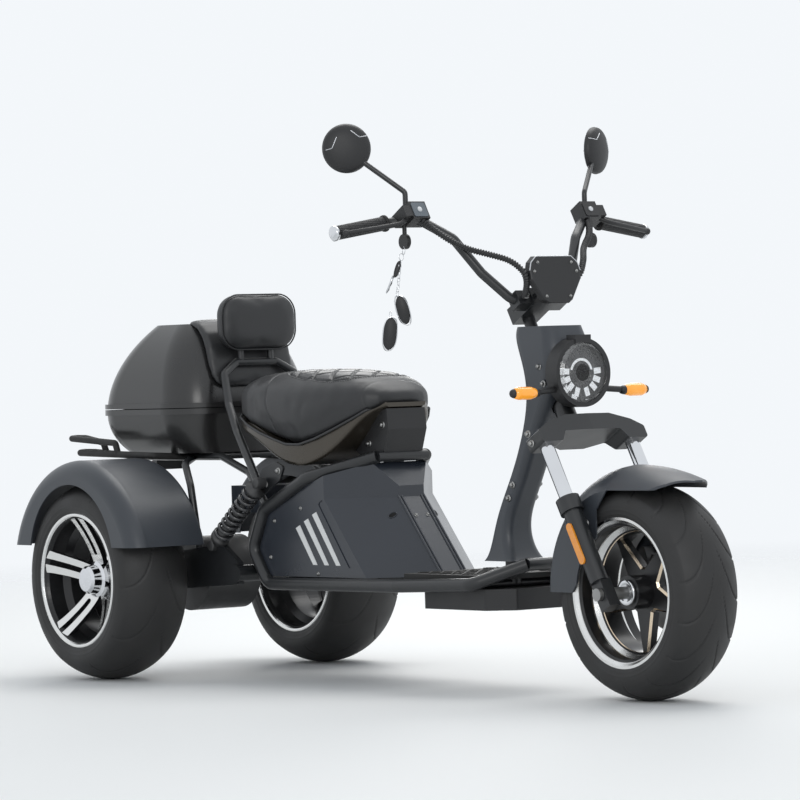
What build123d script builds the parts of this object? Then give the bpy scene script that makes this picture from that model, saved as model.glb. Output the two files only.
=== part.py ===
from build123d import *
import os
from math import cos, radians, sin

# Electric three-wheel scooter: one steered front wheel, two driven rear wheels, saddle, backrest, top box.
# Millimetres, +X forward, +Y to the rider's left, +Z up, ground at z = 0.
# In the tables, x is counted from the front axle or, where named so, from the rear axle.

# Layout
wheelbase = 1680.0
front_axle_x = 886.0
rear_axle_x = front_axle_x - wheelbase
track = 644.0
rake = 30.0
fork_offset = 36.0
clear = 0.4

# Wheels
front_tyre_r = 238.5
front_tyre_w = 164.0
rear_tyre_r = 246.0
rear_tyre_w = 198.0
tyre_wall = 12.0
rim_lip_r = 165.0
rim_wall = 6.0
bead_depth = 13.0
well_depth = 14.0
front_lip_y = 78.0
rear_lip_y = 93.0
spoke_count = 5
spoke_thick = 26.0
spoke_bevel = 4.5
star_valley_r = 53.0
star_tip_half = 10.0
front_hub_r = 37.0
front_hub_half = 56.0
rear_hub_r = 46.0
rear_hub_in = 60.0
rear_hub_out = 22.0
blade_w = 15.0
blade_gap = 9.0
blade_thick = 16.0
blade_mid_y = 50.0
blade_out_y = 80.0
blade_turn = -17.0
cap_long = 46.0
disc_r = 90.0
disc_y = 64.0
disc_thick = 4.0
axle_r = 9.0

# Steering head, fork and handlebar, along and across the steering axis
stem_r = 14.0
head_tube_r = 23.0
head_low = 446.0
head_high = 686.0
leg_y = 122.0
stanchion_r = 16.0
slider_r = 21.0
collar_r = 27.0
collar_high = 238.0
yoke_low = 370.0
yoke_high = 434.0
yoke_half = 150.0
yoke_back = -26.0
yoke_front = 62.0
bar_r = 11.0
bar_ahead = 50.0
bar_up = 738.0
bar_bend = 38.0
grip_r = 16.0
grip_long = 134.0
lock_r = 17.0
conduit_r = 7.0
conduit_bend = 16.0
mirror_r = 55.0
mirror_yaw = 26.0

# Bodywork
fender_wall = 4.0
front_fender_r = 277.0
front_fender_half = 92.0
rear_fender_r = 293.0
fender_side_y = 108.0
fender_arch_r = 190.0
fender_arch_up = 45.0
cover_wall = 4.0
frame_r = 15.0
loop_y = 165.0
rail_z = 246.0
deck_thick = 12.0
lamp_r = 77.0
lamp_z = 720.0
lamp_eye_r = 19.0
block_out = 45.0
block_turns = (4, -20, -44, -72, -108, -136, -160, -184)
panel_wall = 4.0
recess_deep = 2.0
controller_low = 404.0
controller_high = 468.0
coil_count = 9
coil_share = 0.62
coil_in_r = 16.0
coil_out_r = 24.0
eye_r = 11.0
panel_y = 160.0
saddle_low_corner = 9.0
skirt_inset = 4.0
stripe_thick = 1.0

# Top box
box_wall = 4.0
box_half = 205.0
box_back = 236.0
box_front = 184.0
box_corner = 100.0
box_above_fender = 9.0
tub_high = 112.0
lid_high = 206.0
seam_gap = 2.0
band_out = 6.0
hinge_r = 7.0
hinge_pin_r = 3.0
hinge_play = 0.08

box_floor_z = rear_tyre_r + rear_fender_r + box_above_fender
box_seam_z = box_floor_z + tub_high
box_top_z = box_seam_z + lid_high

UP = (Align.CENTER, Align.CENTER, Align.MIN)
SIDES = ((-1, "right"), (1, "left"))
front_hub_at = Pos(front_axle_x, 0, front_tyre_r)
lean = (sin(radians(rake)), cos(radians(rake)))
steering = Plane(
    origin=(front_axle_x - fork_offset * lean[1], 0, front_tyre_r - fork_offset * lean[0]),
    x_dir=(lean[1], 0, lean[0]),
    z_dir=(-lean[0], 0, lean[1]),
)
nodes = {}


def keep(name, *pieces):
    """Stores every solid of the pieces as one node, and returns it."""
    nodes[name] = Part() + [solid for piece in pieces for solid in piece.solids()]
    return nodes[name]


def tube(points, radius, bend=0.0):
    """A round bar through the points, with an arc at each corner."""
    path = FilletPolyline(*points, radius=bend) if bend else Line(*points)
    return sweep(Plane(origin=path @ 0, z_dir=path % 0) * Circle(radius), path=path)


def pillar(radius, low, high):
    """A round bar along z."""
    return Pos(0, 0, low) * Cylinder(radius, high - low, align=UP)


def across(radius, y_low, y_high):
    """A round bar along y."""
    return Pos(0, y_low, 0) * Rot(-90, 0, 0) * Cylinder(radius, y_high - y_low, align=UP)


def outline(points, corner=0.0):
    """A closed face through the points, its corners rounded where a radius is given."""
    face = make_face(Polyline(*points, close=True))
    return fillet(face.vertices(), corner) if corner else face


def side_slab(points, y_low, y_high, corner=0.0):
    """An outline of (x, z) points made solid between two values of y."""
    plane = Plane((0, y_high, 0), x_dir=(1, 0, 0), z_dir=(0, -1, 0))
    return extrude(plane * outline(points, corner), y_high - y_low)


def plan_slab(points, z_low, z_high, corner=0.0):
    """An outline of (x, y) points made solid between two heights."""
    return extrude(Plane((0, 0, z_low)) * outline(points, corner), z_high - z_low)


def turned(points):
    """An outline of (radius, y) points turned about the Y axis."""
    return revolve(make_face(Polyline(*points, close=True)), Axis.Y)


def mirrored(points):
    """The (along, across) points of one half, and the same points on the other side."""
    return list(points) + [(a, -b) for a, b in reversed(points) if b]


def from_front(points):
    """Points counted from the front axle, moved to their places along x."""
    return [(front_axle_x + point[0], *point[1:]) for point in points]


def from_rear(points):
    """Points counted from the rear axle, moved to their places along x."""
    return [(rear_axle_x + point[0], *point[1:]) for point in points]


# Wheels
bead_r = rim_lip_r - bead_depth
well_r = bead_r - well_depth
spoke_out_r = well_r - 0.5 * rim_wall


def tyre(radius, width, lip_y):
    """Hollow carcass with a round crown, seated on the rim's two beads."""
    half = width / 2
    shoulder_r = radius - 0.15 * width
    side_r = 0.5 * (rim_lip_r + shoulder_r)
    bead_y = lip_y - rim_wall
    toe_y = bead_y - tyre_wall
    return revolve(make_face([
        ThreePointArc((rim_lip_r, -lip_y), (side_r, -half), (shoulder_r, -0.88 * half)),
        ThreePointArc((shoulder_r, -0.88 * half), (radius, 0), (shoulder_r, 0.88 * half)),
        ThreePointArc((shoulder_r, 0.88 * half), (side_r, half), (rim_lip_r, lip_y)),
        Line((rim_lip_r, lip_y), (bead_r, bead_y)),
        Line((bead_r, bead_y), (bead_r, toe_y)),
        ThreePointArc((bead_r, toe_y), (radius - tyre_wall, 0), (bead_r, -toe_y)),
        Line((bead_r, -toe_y), (bead_r, -bead_y)),
        Line((bead_r, -bead_y), (rim_lip_r, -lip_y)),
    ]), Axis.Y)


def barrel(lip_y):
    """Rim barrel with two flared lips and a drop centre."""
    bead_y = lip_y - rim_wall
    ledge_y = 0.45 * lip_y
    well_y = 0.3 * lip_y
    half = [
        (rim_lip_r, lip_y), (bead_r, bead_y), (bead_r, ledge_y), (well_r, well_y),
    ]
    inner = [
        (well_r - rim_wall, well_y), (bead_r - rim_wall, ledge_y + 2), (bead_r - rim_wall, bead_y - rim_wall),
        (rim_lip_r - rim_wall, lip_y),
    ]
    return turned(mirrored(half)[:4] + [(r, -y) for r, y in reversed(half)]
                  + [(r, -y) for r, y in reversed(inner)] + inner)


def star():
    """Five-pointed spoke plate, its tips in the barrel and its valleys near the hub."""
    points = []
    step = 360 / spoke_count
    for index in range(spoke_count):
        tip, valley = radians(index * step - 90), radians((index + 0.5) * step - 90)
        for out, half, angle in ((spoke_out_r, star_tip_half, tip), (star_valley_r, 5.0, valley)):
            for by in (-half, half):
                points.append((out * cos(angle) - by * sin(angle), out * sin(angle) + by * cos(angle)))
    plate = side_slab(points, -spoke_thick / 2, spoke_thick / 2)
    faces = plate.faces().sort_by(Axis.Y)
    return chamfer(faces[0].edges() + faces[-1].edges(), spoke_bevel)


bore = across(axle_r + clear, -200, 200)
front_rim = barrel(front_lip_y) + star() + across(front_hub_r, -front_hub_half, front_hub_half) - bore
keep("front_rim", front_hub_at * front_rim)
keep("front_tyre", front_hub_at * tyre(front_tyre_r, front_tyre_w, front_lip_y))
disc = across(disc_r, disc_y - disc_thick, disc_y) - across(front_hub_r - 8, -200, 200)
disc += across(front_hub_r - 2, front_hub_half, disc_y) - bore
keep("front_disc", front_hub_at * (disc - bore))


def twin_blade():
    """Two side-by-side blades that rise from the hub to the outer lip, joined at both ends."""
    lip = bead_r - 0.5 * rim_wall
    profile = [
        (rear_hub_r - 8, rear_hub_out - blade_thick), (100, blade_mid_y - blade_thick),
        (lip, blade_out_y - blade_thick), (lip, blade_out_y), (100, blade_mid_y),
        (rear_hub_r, rear_hub_out + 4), (rear_hub_r - 8, rear_hub_out + 4),
    ]
    half = blade_w + blade_gap / 2
    plate = extrude(Plane.XY.offset(-half) * make_face(Polyline(*profile, close=True)), 2 * half)
    slot_in, slot_out = rear_hub_r + 14, bead_r - 12
    slot = Pos((slot_in + slot_out) / 2, rear_hub_out + 20, 0) * Box(slot_out - slot_in, 120, blade_gap)
    return plate - slot


rear_rim = barrel(rear_lip_y) + across(rear_hub_r, -rear_hub_in, rear_hub_out)
for index in range(spoke_count):
    rear_rim += Rot(0, blade_turn + index * 360 / spoke_count, 0) * twin_blade()
rear_rim -= bore
rear_cap = turned([
    (0, rear_hub_out), (rear_hub_r - 2, rear_hub_out), (rear_hub_r - 2, rear_hub_out + 16),
    (rear_hub_r - 10, rear_hub_out + 20), (rear_hub_r - 12, rear_hub_out + cap_long - 6),
    (rear_hub_r - 18, rear_hub_out + cap_long), (0, rear_hub_out + cap_long),
]) - rear_rim
for side, name in SIDES:
    place = Pos(rear_axle_x, side * track / 2, rear_tyre_r) * Rot(0, 0, 90 - 90 * side)
    keep("rear_rim_" + name, place * rear_rim)
    keep("rear_tyre_" + name, place * tyre(rear_tyre_r, rear_tyre_w, rear_lip_y))
    keep("rear_cap_" + name, place * rear_cap)

# Lower yoke with its stem, and the two fork legs
# front view of the yoke, (across, up)
yoke_view = [
    (-62, yoke_high), (62, yoke_high), (118, yoke_high - 16), (yoke_half, yoke_high - 34), (yoke_half, yoke_low),
    (94, yoke_low), (78, yoke_low + 24), (-78, yoke_low + 24), (-94, yoke_low), (-yoke_half, yoke_low),
    (-yoke_half, yoke_high - 34), (-118, yoke_high - 16),
]
# plan of the yoke, (ahead of the axis, across)
yoke_plan = mirrored([
    (yoke_back, 34), (yoke_front - 54, 96), (yoke_front - 54, yoke_half), (yoke_front, yoke_half), (yoke_front + 4, 0),
])
yoke = extrude(Plane.YZ.offset(yoke_back) * outline(yoke_view, 7.0), yoke_front + 4 - yoke_back)
yoke &= plan_slab(yoke_plan, yoke_low - 1, yoke_high + 1)
leg_top = yoke_low + 24
for side in (-1, 1):
    yoke -= Pos(fork_offset, side * leg_y, 0) * pillar(stanchion_r, yoke_low - 1, leg_top)
yoke += pillar(stem_r, yoke_high - 10, bar_up + 6)
keep("fork_yoke", steering * yoke)

stanchions, sliders = Part(), Part()
for side in (-1, 1):
    leg = Pos(fork_offset, side * leg_y, 0)
    stanchions += leg * pillar(stanchion_r, 110, leg_top)
    # (radius, low, high) of the slider's turned steps
    slider = Part()
    for radius, low, high in ((slider_r, 30, collar_high - 12), (collar_r, collar_high - 34, collar_high)):
        slider += leg * pillar(radius, low, high)
    slider += leg * Pos(0, -side * 3, 0) * Box(34, 30, 70)
    slider += leg * Pos(-slider_r + 2, -side * 12, collar_high - 74) * Box(30, 10, 90)
    slider -= leg * pillar(stanchion_r, 110, 300)
    slider -= Pos(fork_offset, 0, 0) * across(axle_r, -200, 200)
    sliders += slider
keep("fork_stanchions", steering * stanchions)
keep("fork_sliders", steering * sliders)
axle_half = leg_y + 18
spindle = across(axle_r, -axle_half, axle_half)
for side in (-1, 1):
    spindle += Pos(0, side * axle_half, 0) * across(14, -5, 5)
    spindle += Pos(0, side * 0.5 * (front_hub_half + leg_y - 18), 0) * (
        across(14, -0.5 * (leg_y - 18 - front_hub_half) + clear * 4, 0.5 * (leg_y - 18 - front_hub_half)))
keep("front_axle", front_hub_at * spindle - nodes["fork_sliders"] - nodes["front_disc"])
caliper = side_slab([(-46, 52), (-66, 98), (-104, 68), (-78, 28)], disc_y - 18, disc_y + 20, 6.0)
caliper -= across(disc_r + 5, disc_y - disc_thick - 1, disc_y + 1)
caliper += side_slab([(-58, 74), (-84, 92), (-60, 128), (-36, 110)], disc_y + 10, leg_y - 8, 4.0)
front_caliper = front_hub_at * caliper - nodes["fork_sliders"] - nodes["fork_stanchions"]
reflectors = Part()
for side in (-1, 1):
    reflectors += Pos(fork_offset - 2, side * (leg_y + slider_r + 2), 128) * Rot(90, 0, 0) * extrude(
        SlotOverall(100, 18, rotation=90), 2, both=True)
keep("fork_reflectors", steering * reflectors - nodes["fork_sliders"])

# Front fender: a bowl over the tyre, with a flat visor that ends in a point
fender_low = -2.0


def bowl(radius, half, drop):
    """Solid under a crowned strip that runs round the Y axis."""
    return revolve(make_face([
        Line((radius - drop - 90, -half), (radius - drop, -half)),
        ThreePointArc((radius - drop, -half), (radius, 0), (radius - drop, half)),
        Line((radius - drop, half), (radius - drop - 90, half)),
        Line((radius - drop - 90, half), (radius - drop - 90, -half)),
    ]), Axis.Y)


visor_r = 610.0
visor_x = -20.0
visor_at = Pos(visor_x, 0, front_fender_r - visor_r)
inner_half = front_fender_half - fender_wall
shell = bowl(front_fender_r, front_fender_half, 52) - bowl(front_fender_r - fender_wall, inner_half, 50)
shell &= side_slab([
    (-60, 180), (-60, fender_low + 110), (-100, fender_low + 60), (-150, fender_low), (-320, fender_low),
    (-320, 320), (visor_x, 320), (visor_x, 226),
], -120, 120)
visor = bowl(visor_r, front_fender_half, 52) - bowl(visor_r - fender_wall, inner_half, 50)
visor &= Pos(-visor_x, 0, visor_r - front_fender_r) * plan_slab(
    mirrored([(visor_x, 100), (90, 96), (140, 60), (180, 12)]), 224, 320)
keep("front_fender", front_hub_at * (shell + visor_at * visor) - nodes["fork_sliders"])
keep("front_caliper", front_caliper - nodes["front_fender"])

# Handlebar, its clamp and what it carries
# half of the bar's line: ahead of the axis, across, up
bar_line = [
    (bar_ahead, 70, bar_up), (50, 128, 812), (56, 176, 900), (40, 236, 960), (10, 300, 972), (-4, 436, 955),
]
bar_points = [(x, -y, z) for x, y, z in reversed(bar_line)] + bar_line
handlebar = tube(bar_points, bar_r, bar_bend)
keep("handlebar", steering * handlebar)
clamp = Pos(0.5 * bar_ahead, 0, bar_up) * Box(bar_ahead + 44, 64, 40) - pillar(stem_r, 0, bar_up + 6)
for side in (-1, 1):
    clamp += Pos(bar_ahead, side * 48, bar_up) * Box(34, 40, 34)
clamp = clamp - handlebar
keep("bar_clamp", steering * clamp)
grips, controls, levers = Part(), Part(), Part()
grip_from, grip_to = Vector(*bar_line[-2]), Vector(*bar_line[-1])
for side in (-1, 1):
    root = Vector(grip_from.X, side * grip_from.Y, grip_from.Z)
    end = Vector(grip_to.X, side * grip_to.Y, grip_to.Z)
    way = (end - root).normalized()
    face = Plane(root + way * 8, z_dir=way)
    grips += extrude(face * Circle(grip_r), grip_long) - handlebar
    box = Pos(44, side * 246, 972) * Box(40, 46, 44)
    perch = Pos(38, side * 276, 970) * Box(52, 24, 28)
    controls += box + perch - handlebar
    lever = tube([(60, side * 276, 968), (68, side * 330, 960), (50, side * 430, 944)], 6, 40)
    levers += lever + Pos(50, side * 430, 944) * Sphere(8)
keep("grips", steering * grips)
# round locks that hang under the bars on short stems, (x from the front axle, across, up)
lock_at = (-490, 268, 1024)
for side in (-1, 1):
    lock = Pos(front_axle_x + lock_at[0], side * lock_at[1], lock_at[2])
    controls += steering.location.inverse() * (lock * (across(lock_r, -5, 5) + pillar(5, 0, 60)))
controls -= handlebar
keep("hand_controls", steering * controls - nodes["grips"])
keep("brake_levers", steering * levers - nodes["hand_controls"] - nodes["grips"])

# Mirrors: (x from the front axle, across, up) of base, joint and back of the head
mirror_line = [(-497, 258, 1090), (-497, 258, 1135), (-562, 338, 1214)]
for side, name in SIDES:
    points = [(front_axle_x + x, side * y, z) for x, y, z in mirror_line]
    aim = (cos(radians(mirror_yaw)), side * sin(radians(mirror_yaw)), 0)
    face = Plane(origin=(front_axle_x - 580, side * 357, 1237), z_dir=aim)
    head = extrude(face * Circle(mirror_r), 8) + extrude(face.offset(8) * Circle(mirror_r), 16, taper=38)
    keep("mirror_head_" + name, head)
    keep("mirror_arm_" + name, tube(points, 6, 12) - head - nodes["handlebar"] - nodes["hand_controls"])
    glass = extrude(face.offset(-2) * Circle(mirror_r - 4), 2)
    keep("mirror_glass_" + name, glass)

# Display between the risers, on two struts from the clamp
display = extrude(Plane((146, 0, 700), x_dir=(0, 1, 0), z_dir=(0.9, 0, 0.44)) * outline(
    [(-16, 0), (16, 0), (60, 62), (60, 82), (48, 92), (-48, 92), (-60, 82), (-60, 62)]), 14)
struts = Part()
for side in (-1, 1):
    struts += tube([(bar_ahead + 10, side * 20, bar_up), (150, side * 14, 728)], 6)
keep("display", steering * (display + (struts - display)) - nodes["bar_clamp"] - nodes["handlebar"])

# Corrugated cable conduits from the switch boxes down to the clamp, ahead of the risers
# (x from the front axle, across, up)
conduit_line = [
    (-462, 236, 1070), (-432, 222, 1042), (-402, 174, 1006), (-352, 132, 988), (-312, 100, 972), (-292, 70, 930),
    (-342, 50, 892),
]
conduits = Part()
for side in (-1, 1):
    conduits += tube(from_front([(x, side * y, z) for x, y, z in conduit_line]), conduit_r, conduit_bend)
conduits = conduits - nodes["hand_controls"] - nodes["bar_clamp"] - nodes["handlebar"]
keep("cable_conduits", conduits - nodes["display"])

# Main frame: head tube, down tube, floor rails, and a closed loop of tube on each side
head_bore = steering * pillar(stem_r + clear, 0, 1000)
down_line = from_front([
    (-312, 0, 690), (-346, 0, 620), (-416, 0, 480), (-462, 0, 400), (-474, 0, 340), (-474, 0, rail_z),
])
loop_line = from_front([
    (-360, 50, 292), (-440, 146, rail_z + 4), (-700, loop_y, rail_z - 4), (-1215, loop_y, rail_z - 10),
    (-1276, loop_y, 318), (-1226, loop_y, 412), (-1050, loop_y, 488), (-890, 70, 536),
])
main_frame = steering * pillar(head_tube_r, head_low, head_high) + tube(down_line, 18, 30)
for side in (-1, 1):
    main_frame += tube([(x, side * y, z) for x, y, z in loop_line], frame_r, 36)
# (x, z, half length) of the cross members
members = [(-890, 536, 72), (-1215, rail_z - 10, loop_y), (-700, rail_z - 4, loop_y), (-474, rail_z, 150)]
for x, z, half in members:
    main_frame += Pos(front_axle_x + x, 0, z) * across(frame_r - 2, -half, half)
main_frame += tube(from_front([(-360, 52, 292), (-360, -52, 292)]), frame_r - 1)
main_frame += tube(from_front([(-474, 0, 292), (-360, 0, 292)]), frame_r - 3)
main_frame -= head_bore
keep("main_frame", main_frame)

# Neck cover: (x of its middle, height, half length, half width, corner)
cover_sections = [
    (-468, 298, 54, 56, 20), (-473, 345, 33, 43, 20), (-453, 420, 26, 38, 20), (-407, 500, 26, 37, 20),
    (-364, 580, 29, 40, 22), (-322, 650, 44, 49, 28), (-297, 720, 61, 61, 34), (-306, 780, 71, 62, 34),
    (-318, 826, 66, 54, 30),
]


def cover(inset):
    """Outer form of the neck cover, drawn in by the inset."""
    sections = [
        Plane((front_axle_x + x, 0, z))
        * RectangleRounded(2 * (long - inset), 2 * (wide - inset), corner - inset)
        for x, z, long, wide, corner in cover_sections
    ]
    return loft(sections)


below_top = plan_slab(from_front([(-900, -200), (0, -200), (0, 200), (-900, 200)]), 200, 822)
neck = cover(0) - (cover(cover_wall) & below_top)
neck -= steering * pillar(head_tube_r + 3, 0, 1000)
neck -= Pos(front_axle_x - 240, 0, lamp_z) * Rot(0, 90, 0) * Cylinder(lamp_r + clear, 80, align=UP)
keep("neck_cover", neck - main_frame)

# Headlight: black bucket and bezel, clear lens, lamp unit with its blocks
lamp_back = front_axle_x - 240
lamp_front = front_axle_x - 200
lamp_face = Plane((lamp_back, 0, lamp_z), x_dir=(0, 1, 0), z_dir=(1, 0, 0))
bucket = extrude(lamp_face * Circle(lamp_r), lamp_front - lamp_back)
bucket += extrude(lamp_face.offset(10) * (Pos(0, lamp_r - 4) * Rectangle(44, 22)), lamp_front - lamp_back - 8)
bucket -= extrude(lamp_face.offset(14) * Circle(lamp_r - 10), 60)
keep("headlight_bucket", bucket - nodes["neck_cover"])
lens = extrude(lamp_face.offset(30) * Circle(lamp_r - 10), 10)
lens += extrude(lamp_face.offset(40) * Circle(lamp_r - 10), 6, taper=50)
keep("headlight_lens", lens)
unit = extrude(lamp_face.offset(14) * Circle(lamp_r - 10), 4)
unit += extrude(lamp_face.offset(18) * Circle(lamp_eye_r), 12)
for turn in block_turns:
    unit += extrude(lamp_face.offset(18) * Rot(0, 0, turn) * (Pos(block_out, 0) * Rectangle(20, 13)), 8)
arc_band = Circle(lamp_eye_r + 13) - Circle(lamp_eye_r + 7)
unit += extrude(lamp_face.offset(18) * (arc_band & (Pos(0, 30) * Rectangle(90, 48))), 8)
keep("headlight_unit", unit)

# Turn signals: amber spindles on stalks, between dark end caps
# (radius, y) of the amber part, of its inner cap and of its outer cap
amber_rows = [(5, -16), (12, -16), (13, 0), (11, 14), (5, 14)]
inner_cap = [(0, -26), (7, -26), (12, -16), (0, -16)]
outer_cap = [(0, 14), (11, 14), (7, 28), (0, 28)]
signal_y = 158.0
signals, stalks = Part(), Part()
for side in (-1, 1):
    signal_at = Pos(front_axle_x - 215, side * signal_y, 678) * Rot(0, 0, 90 - 90 * side)
    signals += signal_at * turned(amber_rows)
    stalks += signal_at * (turned(inner_cap) + turned(outer_cap) + across(5, -20, 20))
    stalks += tube(from_front([(-222, side * 62, 684), (-215, side * (signal_y - 22), 678)]), 7)
keep("signal_stalks", stalks - nodes["headlight_bucket"] - nodes["neck_cover"])
keep("turn_signals", signals)

# Floor: rubber-topped deck on the rails, pan below
deck_z = rail_z + frame_r - 3
deck = plan_slab(from_front(mirrored([(-424, 128), (-700, 150)])), deck_z, deck_z + deck_thick, 12.0)
keep("footboard", deck - main_frame - nodes["neck_cover"])
pan = plan_slab(from_front(mirrored([(-376, 70), (-430, 118), (-650, 128)])), 190, rail_z - 8, 10.0)
keep("belly_pan", pan - main_frame)

# Body box under the saddle: plan outline pushed up along the front slope, cut to its side outline
box_base_z = deck_z
slope = Vector(-230, 0, 263)
box_plan = from_front(mirrored([(-684, 36), (-815, panel_y), (-1262, panel_y)]))
box_side = from_front([
    (-680, box_base_z), (-1215, rail_z + 8), (-1258, 318), (-1214, 402), (-1046, 474), (-900, 522),
])


def body_box(inset):
    """Outer form of the body box, drawn in by the inset."""
    plan = offset(outline(box_plan), -inset, kind=Kind.INTERSECTION) if inset else outline(box_plan)
    side = offset(outline(box_side), -inset, kind=Kind.INTERSECTION) if inset else outline(box_side)
    tail_plan = plan & Pos(front_axle_x - 900, 0) * Rectangle(720, 500)
    swept = extrude(Plane((0, 0, rail_z)) * plan, 420, dir=slope)
    swept += Pos(-slope.X - 400, 0, 0) * extrude(Plane((0, 0, rail_z)) * tail_plan, 320)
    return swept & extrude(Plane((0, 300, 0), x_dir=(1, 0, 0), z_dir=(0, -1, 0)) * side, 600)


# (x, height) of the slanted recess ahead of the stripes
recess_rows = [(-1010, 428), (-992, 438), (-852, 280), (-892, 279)]
shell = body_box(0) - body_box(panel_wall)
recess = side_slab(from_front(recess_rows), panel_y - recess_deep, panel_y + 5, 5.0)
shell -= recess + mirror(recess, Plane.XZ)
keep("side_panels", shell - main_frame - nodes["footboard"])
keep("battery", Pos(front_axle_x - 1046, 0, 320) * Box(250, 210, 156) & body_box(panel_wall + 0.3))
# (x at the top, height at the top) of the three slanted stripes
stripes = Part()
for x, z in ((-1102, 370), (-1068, 386), (-1034, 402)):
    run = (z - 284) * 0.78
    stripe_side = from_front([(x, z), (x + 17, z + 7), (x + 17 + run, 284), (x + run, 284)])
    stripe = side_slab(stripe_side, panel_y, panel_y + stripe_thick)
    stripes += stripe + mirror(stripe, Plane.XZ)
keep("side_stripes", stripes)

# Saddle: cushion over a V-shaped skirt, with a bracket under its nose
# (x from the front axle, half width, bottom of the skirt, bottom of the cushion, top, top corner), tail to nose
saddle_rows = [
    (-1388, 92, 636, 656, 712, 24), (-1320, 150, 596, 624, 734, 44), (-1200, 164, 548, 588, 742, 56),
    (-1105, 162, 518, 566, 742, 56), (-1010, 142, 540, 590, 735, 52), (-930, 112, 606, 628, 721, 42),
    (-866, 62, 652, 662, 690, 12),
]


def saddle_form(inset, skirted):
    """Soft form of the saddle down to its own bottom, or down to the skirt's, drawn in at the sides."""
    sections = []
    for x, half, skirt_low, low, high, corner in saddle_rows:
        base = skirt_low if skirted else low
        shape = Rectangle(2 * (half - inset), high - base)
        shape = fillet(shape.vertices().sort_by(Axis.Y)[2:], corner)
        shape = fillet(shape.vertices().sort_by(Axis.Y)[:2], saddle_low_corner)
        at = Plane((front_axle_x + x, 0, (base + high) / 2), x_dir=(0, 1, 0), z_dir=(1, 0, 0))
        sections.append(at * shape)
    return loft(sections)


cushion = saddle_form(0, False)
keep("seat_cushion", cushion)
skirt = saddle_form(skirt_inset, True) - cushion
skirt &= side_slab(from_front([(-1400, 500), (-1400, 664), (-1110, 600), (-850, 672), (-850, 500)]), -200, 200)
keep("seat_skirt", skirt - nodes["side_panels"] - main_frame)
bracket_side = from_front([(-868, 648), (-862, 600), (-884, 540), (-960, 532), (-1010, 556), (-900, 642)])
bracket = side_slab(bracket_side, -56, 56)
keep("seat_bracket", bracket - nodes["seat_skirt"] - cushion - main_frame - nodes["side_panels"])

# Backrest pad on a tubular hoop that is bolted to plates on the side loops
hoop_half = from_front([
    (-1482, 60, 768), (-1468, 104, 740), (-1426, 122, 665), (-1368, 140, 600), (-1212, 182, 462),
])
hoop_line = [(x, -y, z) for x, y, z in reversed(hoop_half)] + hoop_half
hoop = tube(hoop_line, 10, 16)
for side in (-1, 1):
    hoop += tube(from_front([(-1482, side * 44, 768), (-1484, side * 44, 850)]), 8)
# side outline of the plates that bolt the hoop to the loops
plate_side = from_front([(-1244, 430), (-1136, 484), (-1118, 516), (-1150, 528), (-1206, 512), (-1246, 462)])
for side in (-1, 1):
    middle = side * (loop_y + 12)
    hoop += side_slab(plate_side, middle - 3, middle + 3, 8.0)
keep("backrest_hoop", hoop - main_frame - nodes["side_panels"])
pad = extrude(Plane.YZ * RectangleRounded(224, 140, 50), 26, both=True)
pad_faces = pad.faces().sort_by(Axis.X)
pad = Pos(front_axle_x - 1476, 0, 866) * fillet(pad_faces[0].edges() + pad_faces[-1].edges(), 16)
keep("backrest_pad", pad - hoop)

# Rear axle housing, swing arm and shock absorbers
axle_at = Pos(rear_axle_x, 0, rear_tyre_r)
housing_y = track / 2 - rear_hub_in - 3
drive = across(34, -housing_y, housing_y) + across(92, -84, 70) + across(axle_r, -track / 2, track / 2)
keep("rear_axle", axle_at * drive)
pivot_x = front_axle_x - 1296
swing = Pos(pivot_x, 0, rail_z + 14) * across(20, -206, 206)
arm_side = [
    (rear_axle_x - 46, rear_tyre_r - 40), (rear_axle_x - 46, rear_tyre_r + 40),
    (rear_axle_x + 60, rear_tyre_r + 56), (rear_axle_x + 320, 330),
    (pivot_x + 4, rail_z + 40), (pivot_x + 4, rail_z - 12),
]
for side in (-1, 1):
    swing += side_slab(arm_side, side * 192 - 8, side * 192 + 8)
keep("swing_arm", swing - main_frame - nodes["rear_axle"])
shocks = Part()
shock_top = Vector(front_axle_x - 1192, 0, 478)
shock_low = Vector(front_axle_x - 1390, 0, 326)
way = (shock_top - shock_low).normalized()
shock_long = (shock_top - shock_low).length
spring_low, spring_high = 34.0, shock_long - 26
coil_pitch = (spring_high - spring_low) / coil_count
coil_edges = [
    Line((0, 0), (eye_r, 0)), Line((eye_r, 0), (eye_r, spring_low)),
    Line((eye_r, spring_low), (coil_in_r, spring_low)),
]
for index in range(coil_count):
    start = spring_low + index * coil_pitch
    top = start + coil_share * coil_pitch
    coil_edges.append(ThreePointArc((coil_in_r, start), (coil_out_r, 0.5 * (start + top)), (coil_in_r, top)))
    coil_edges.append(Line((coil_in_r, top), (coil_in_r, start + coil_pitch)))
coil_edges += [
    Line((coil_in_r, spring_high), (eye_r, spring_high)), Line((eye_r, spring_high), (eye_r, shock_long)),
    Line((eye_r, shock_long), (0, shock_long)), Line((0, shock_long), (0, 0)),
]
shock = Rot(90, 0, 0) * revolve(make_face(coil_edges), Axis.Y)
for side in (-1, 1):
    shocks += Plane(shock_low + Vector(0, side * 200, 0), z_dir=way) * shock
keep("shock_absorbers", shocks - nodes["swing_arm"] - main_frame - nodes["backrest_hoop"])

# Rear fenders: flat crown, rolled outer lip, side wall on the inner side
inner_wall_y = -104.0
round_y = fender_side_y - 46
side_r = rear_fender_r - 40


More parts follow.
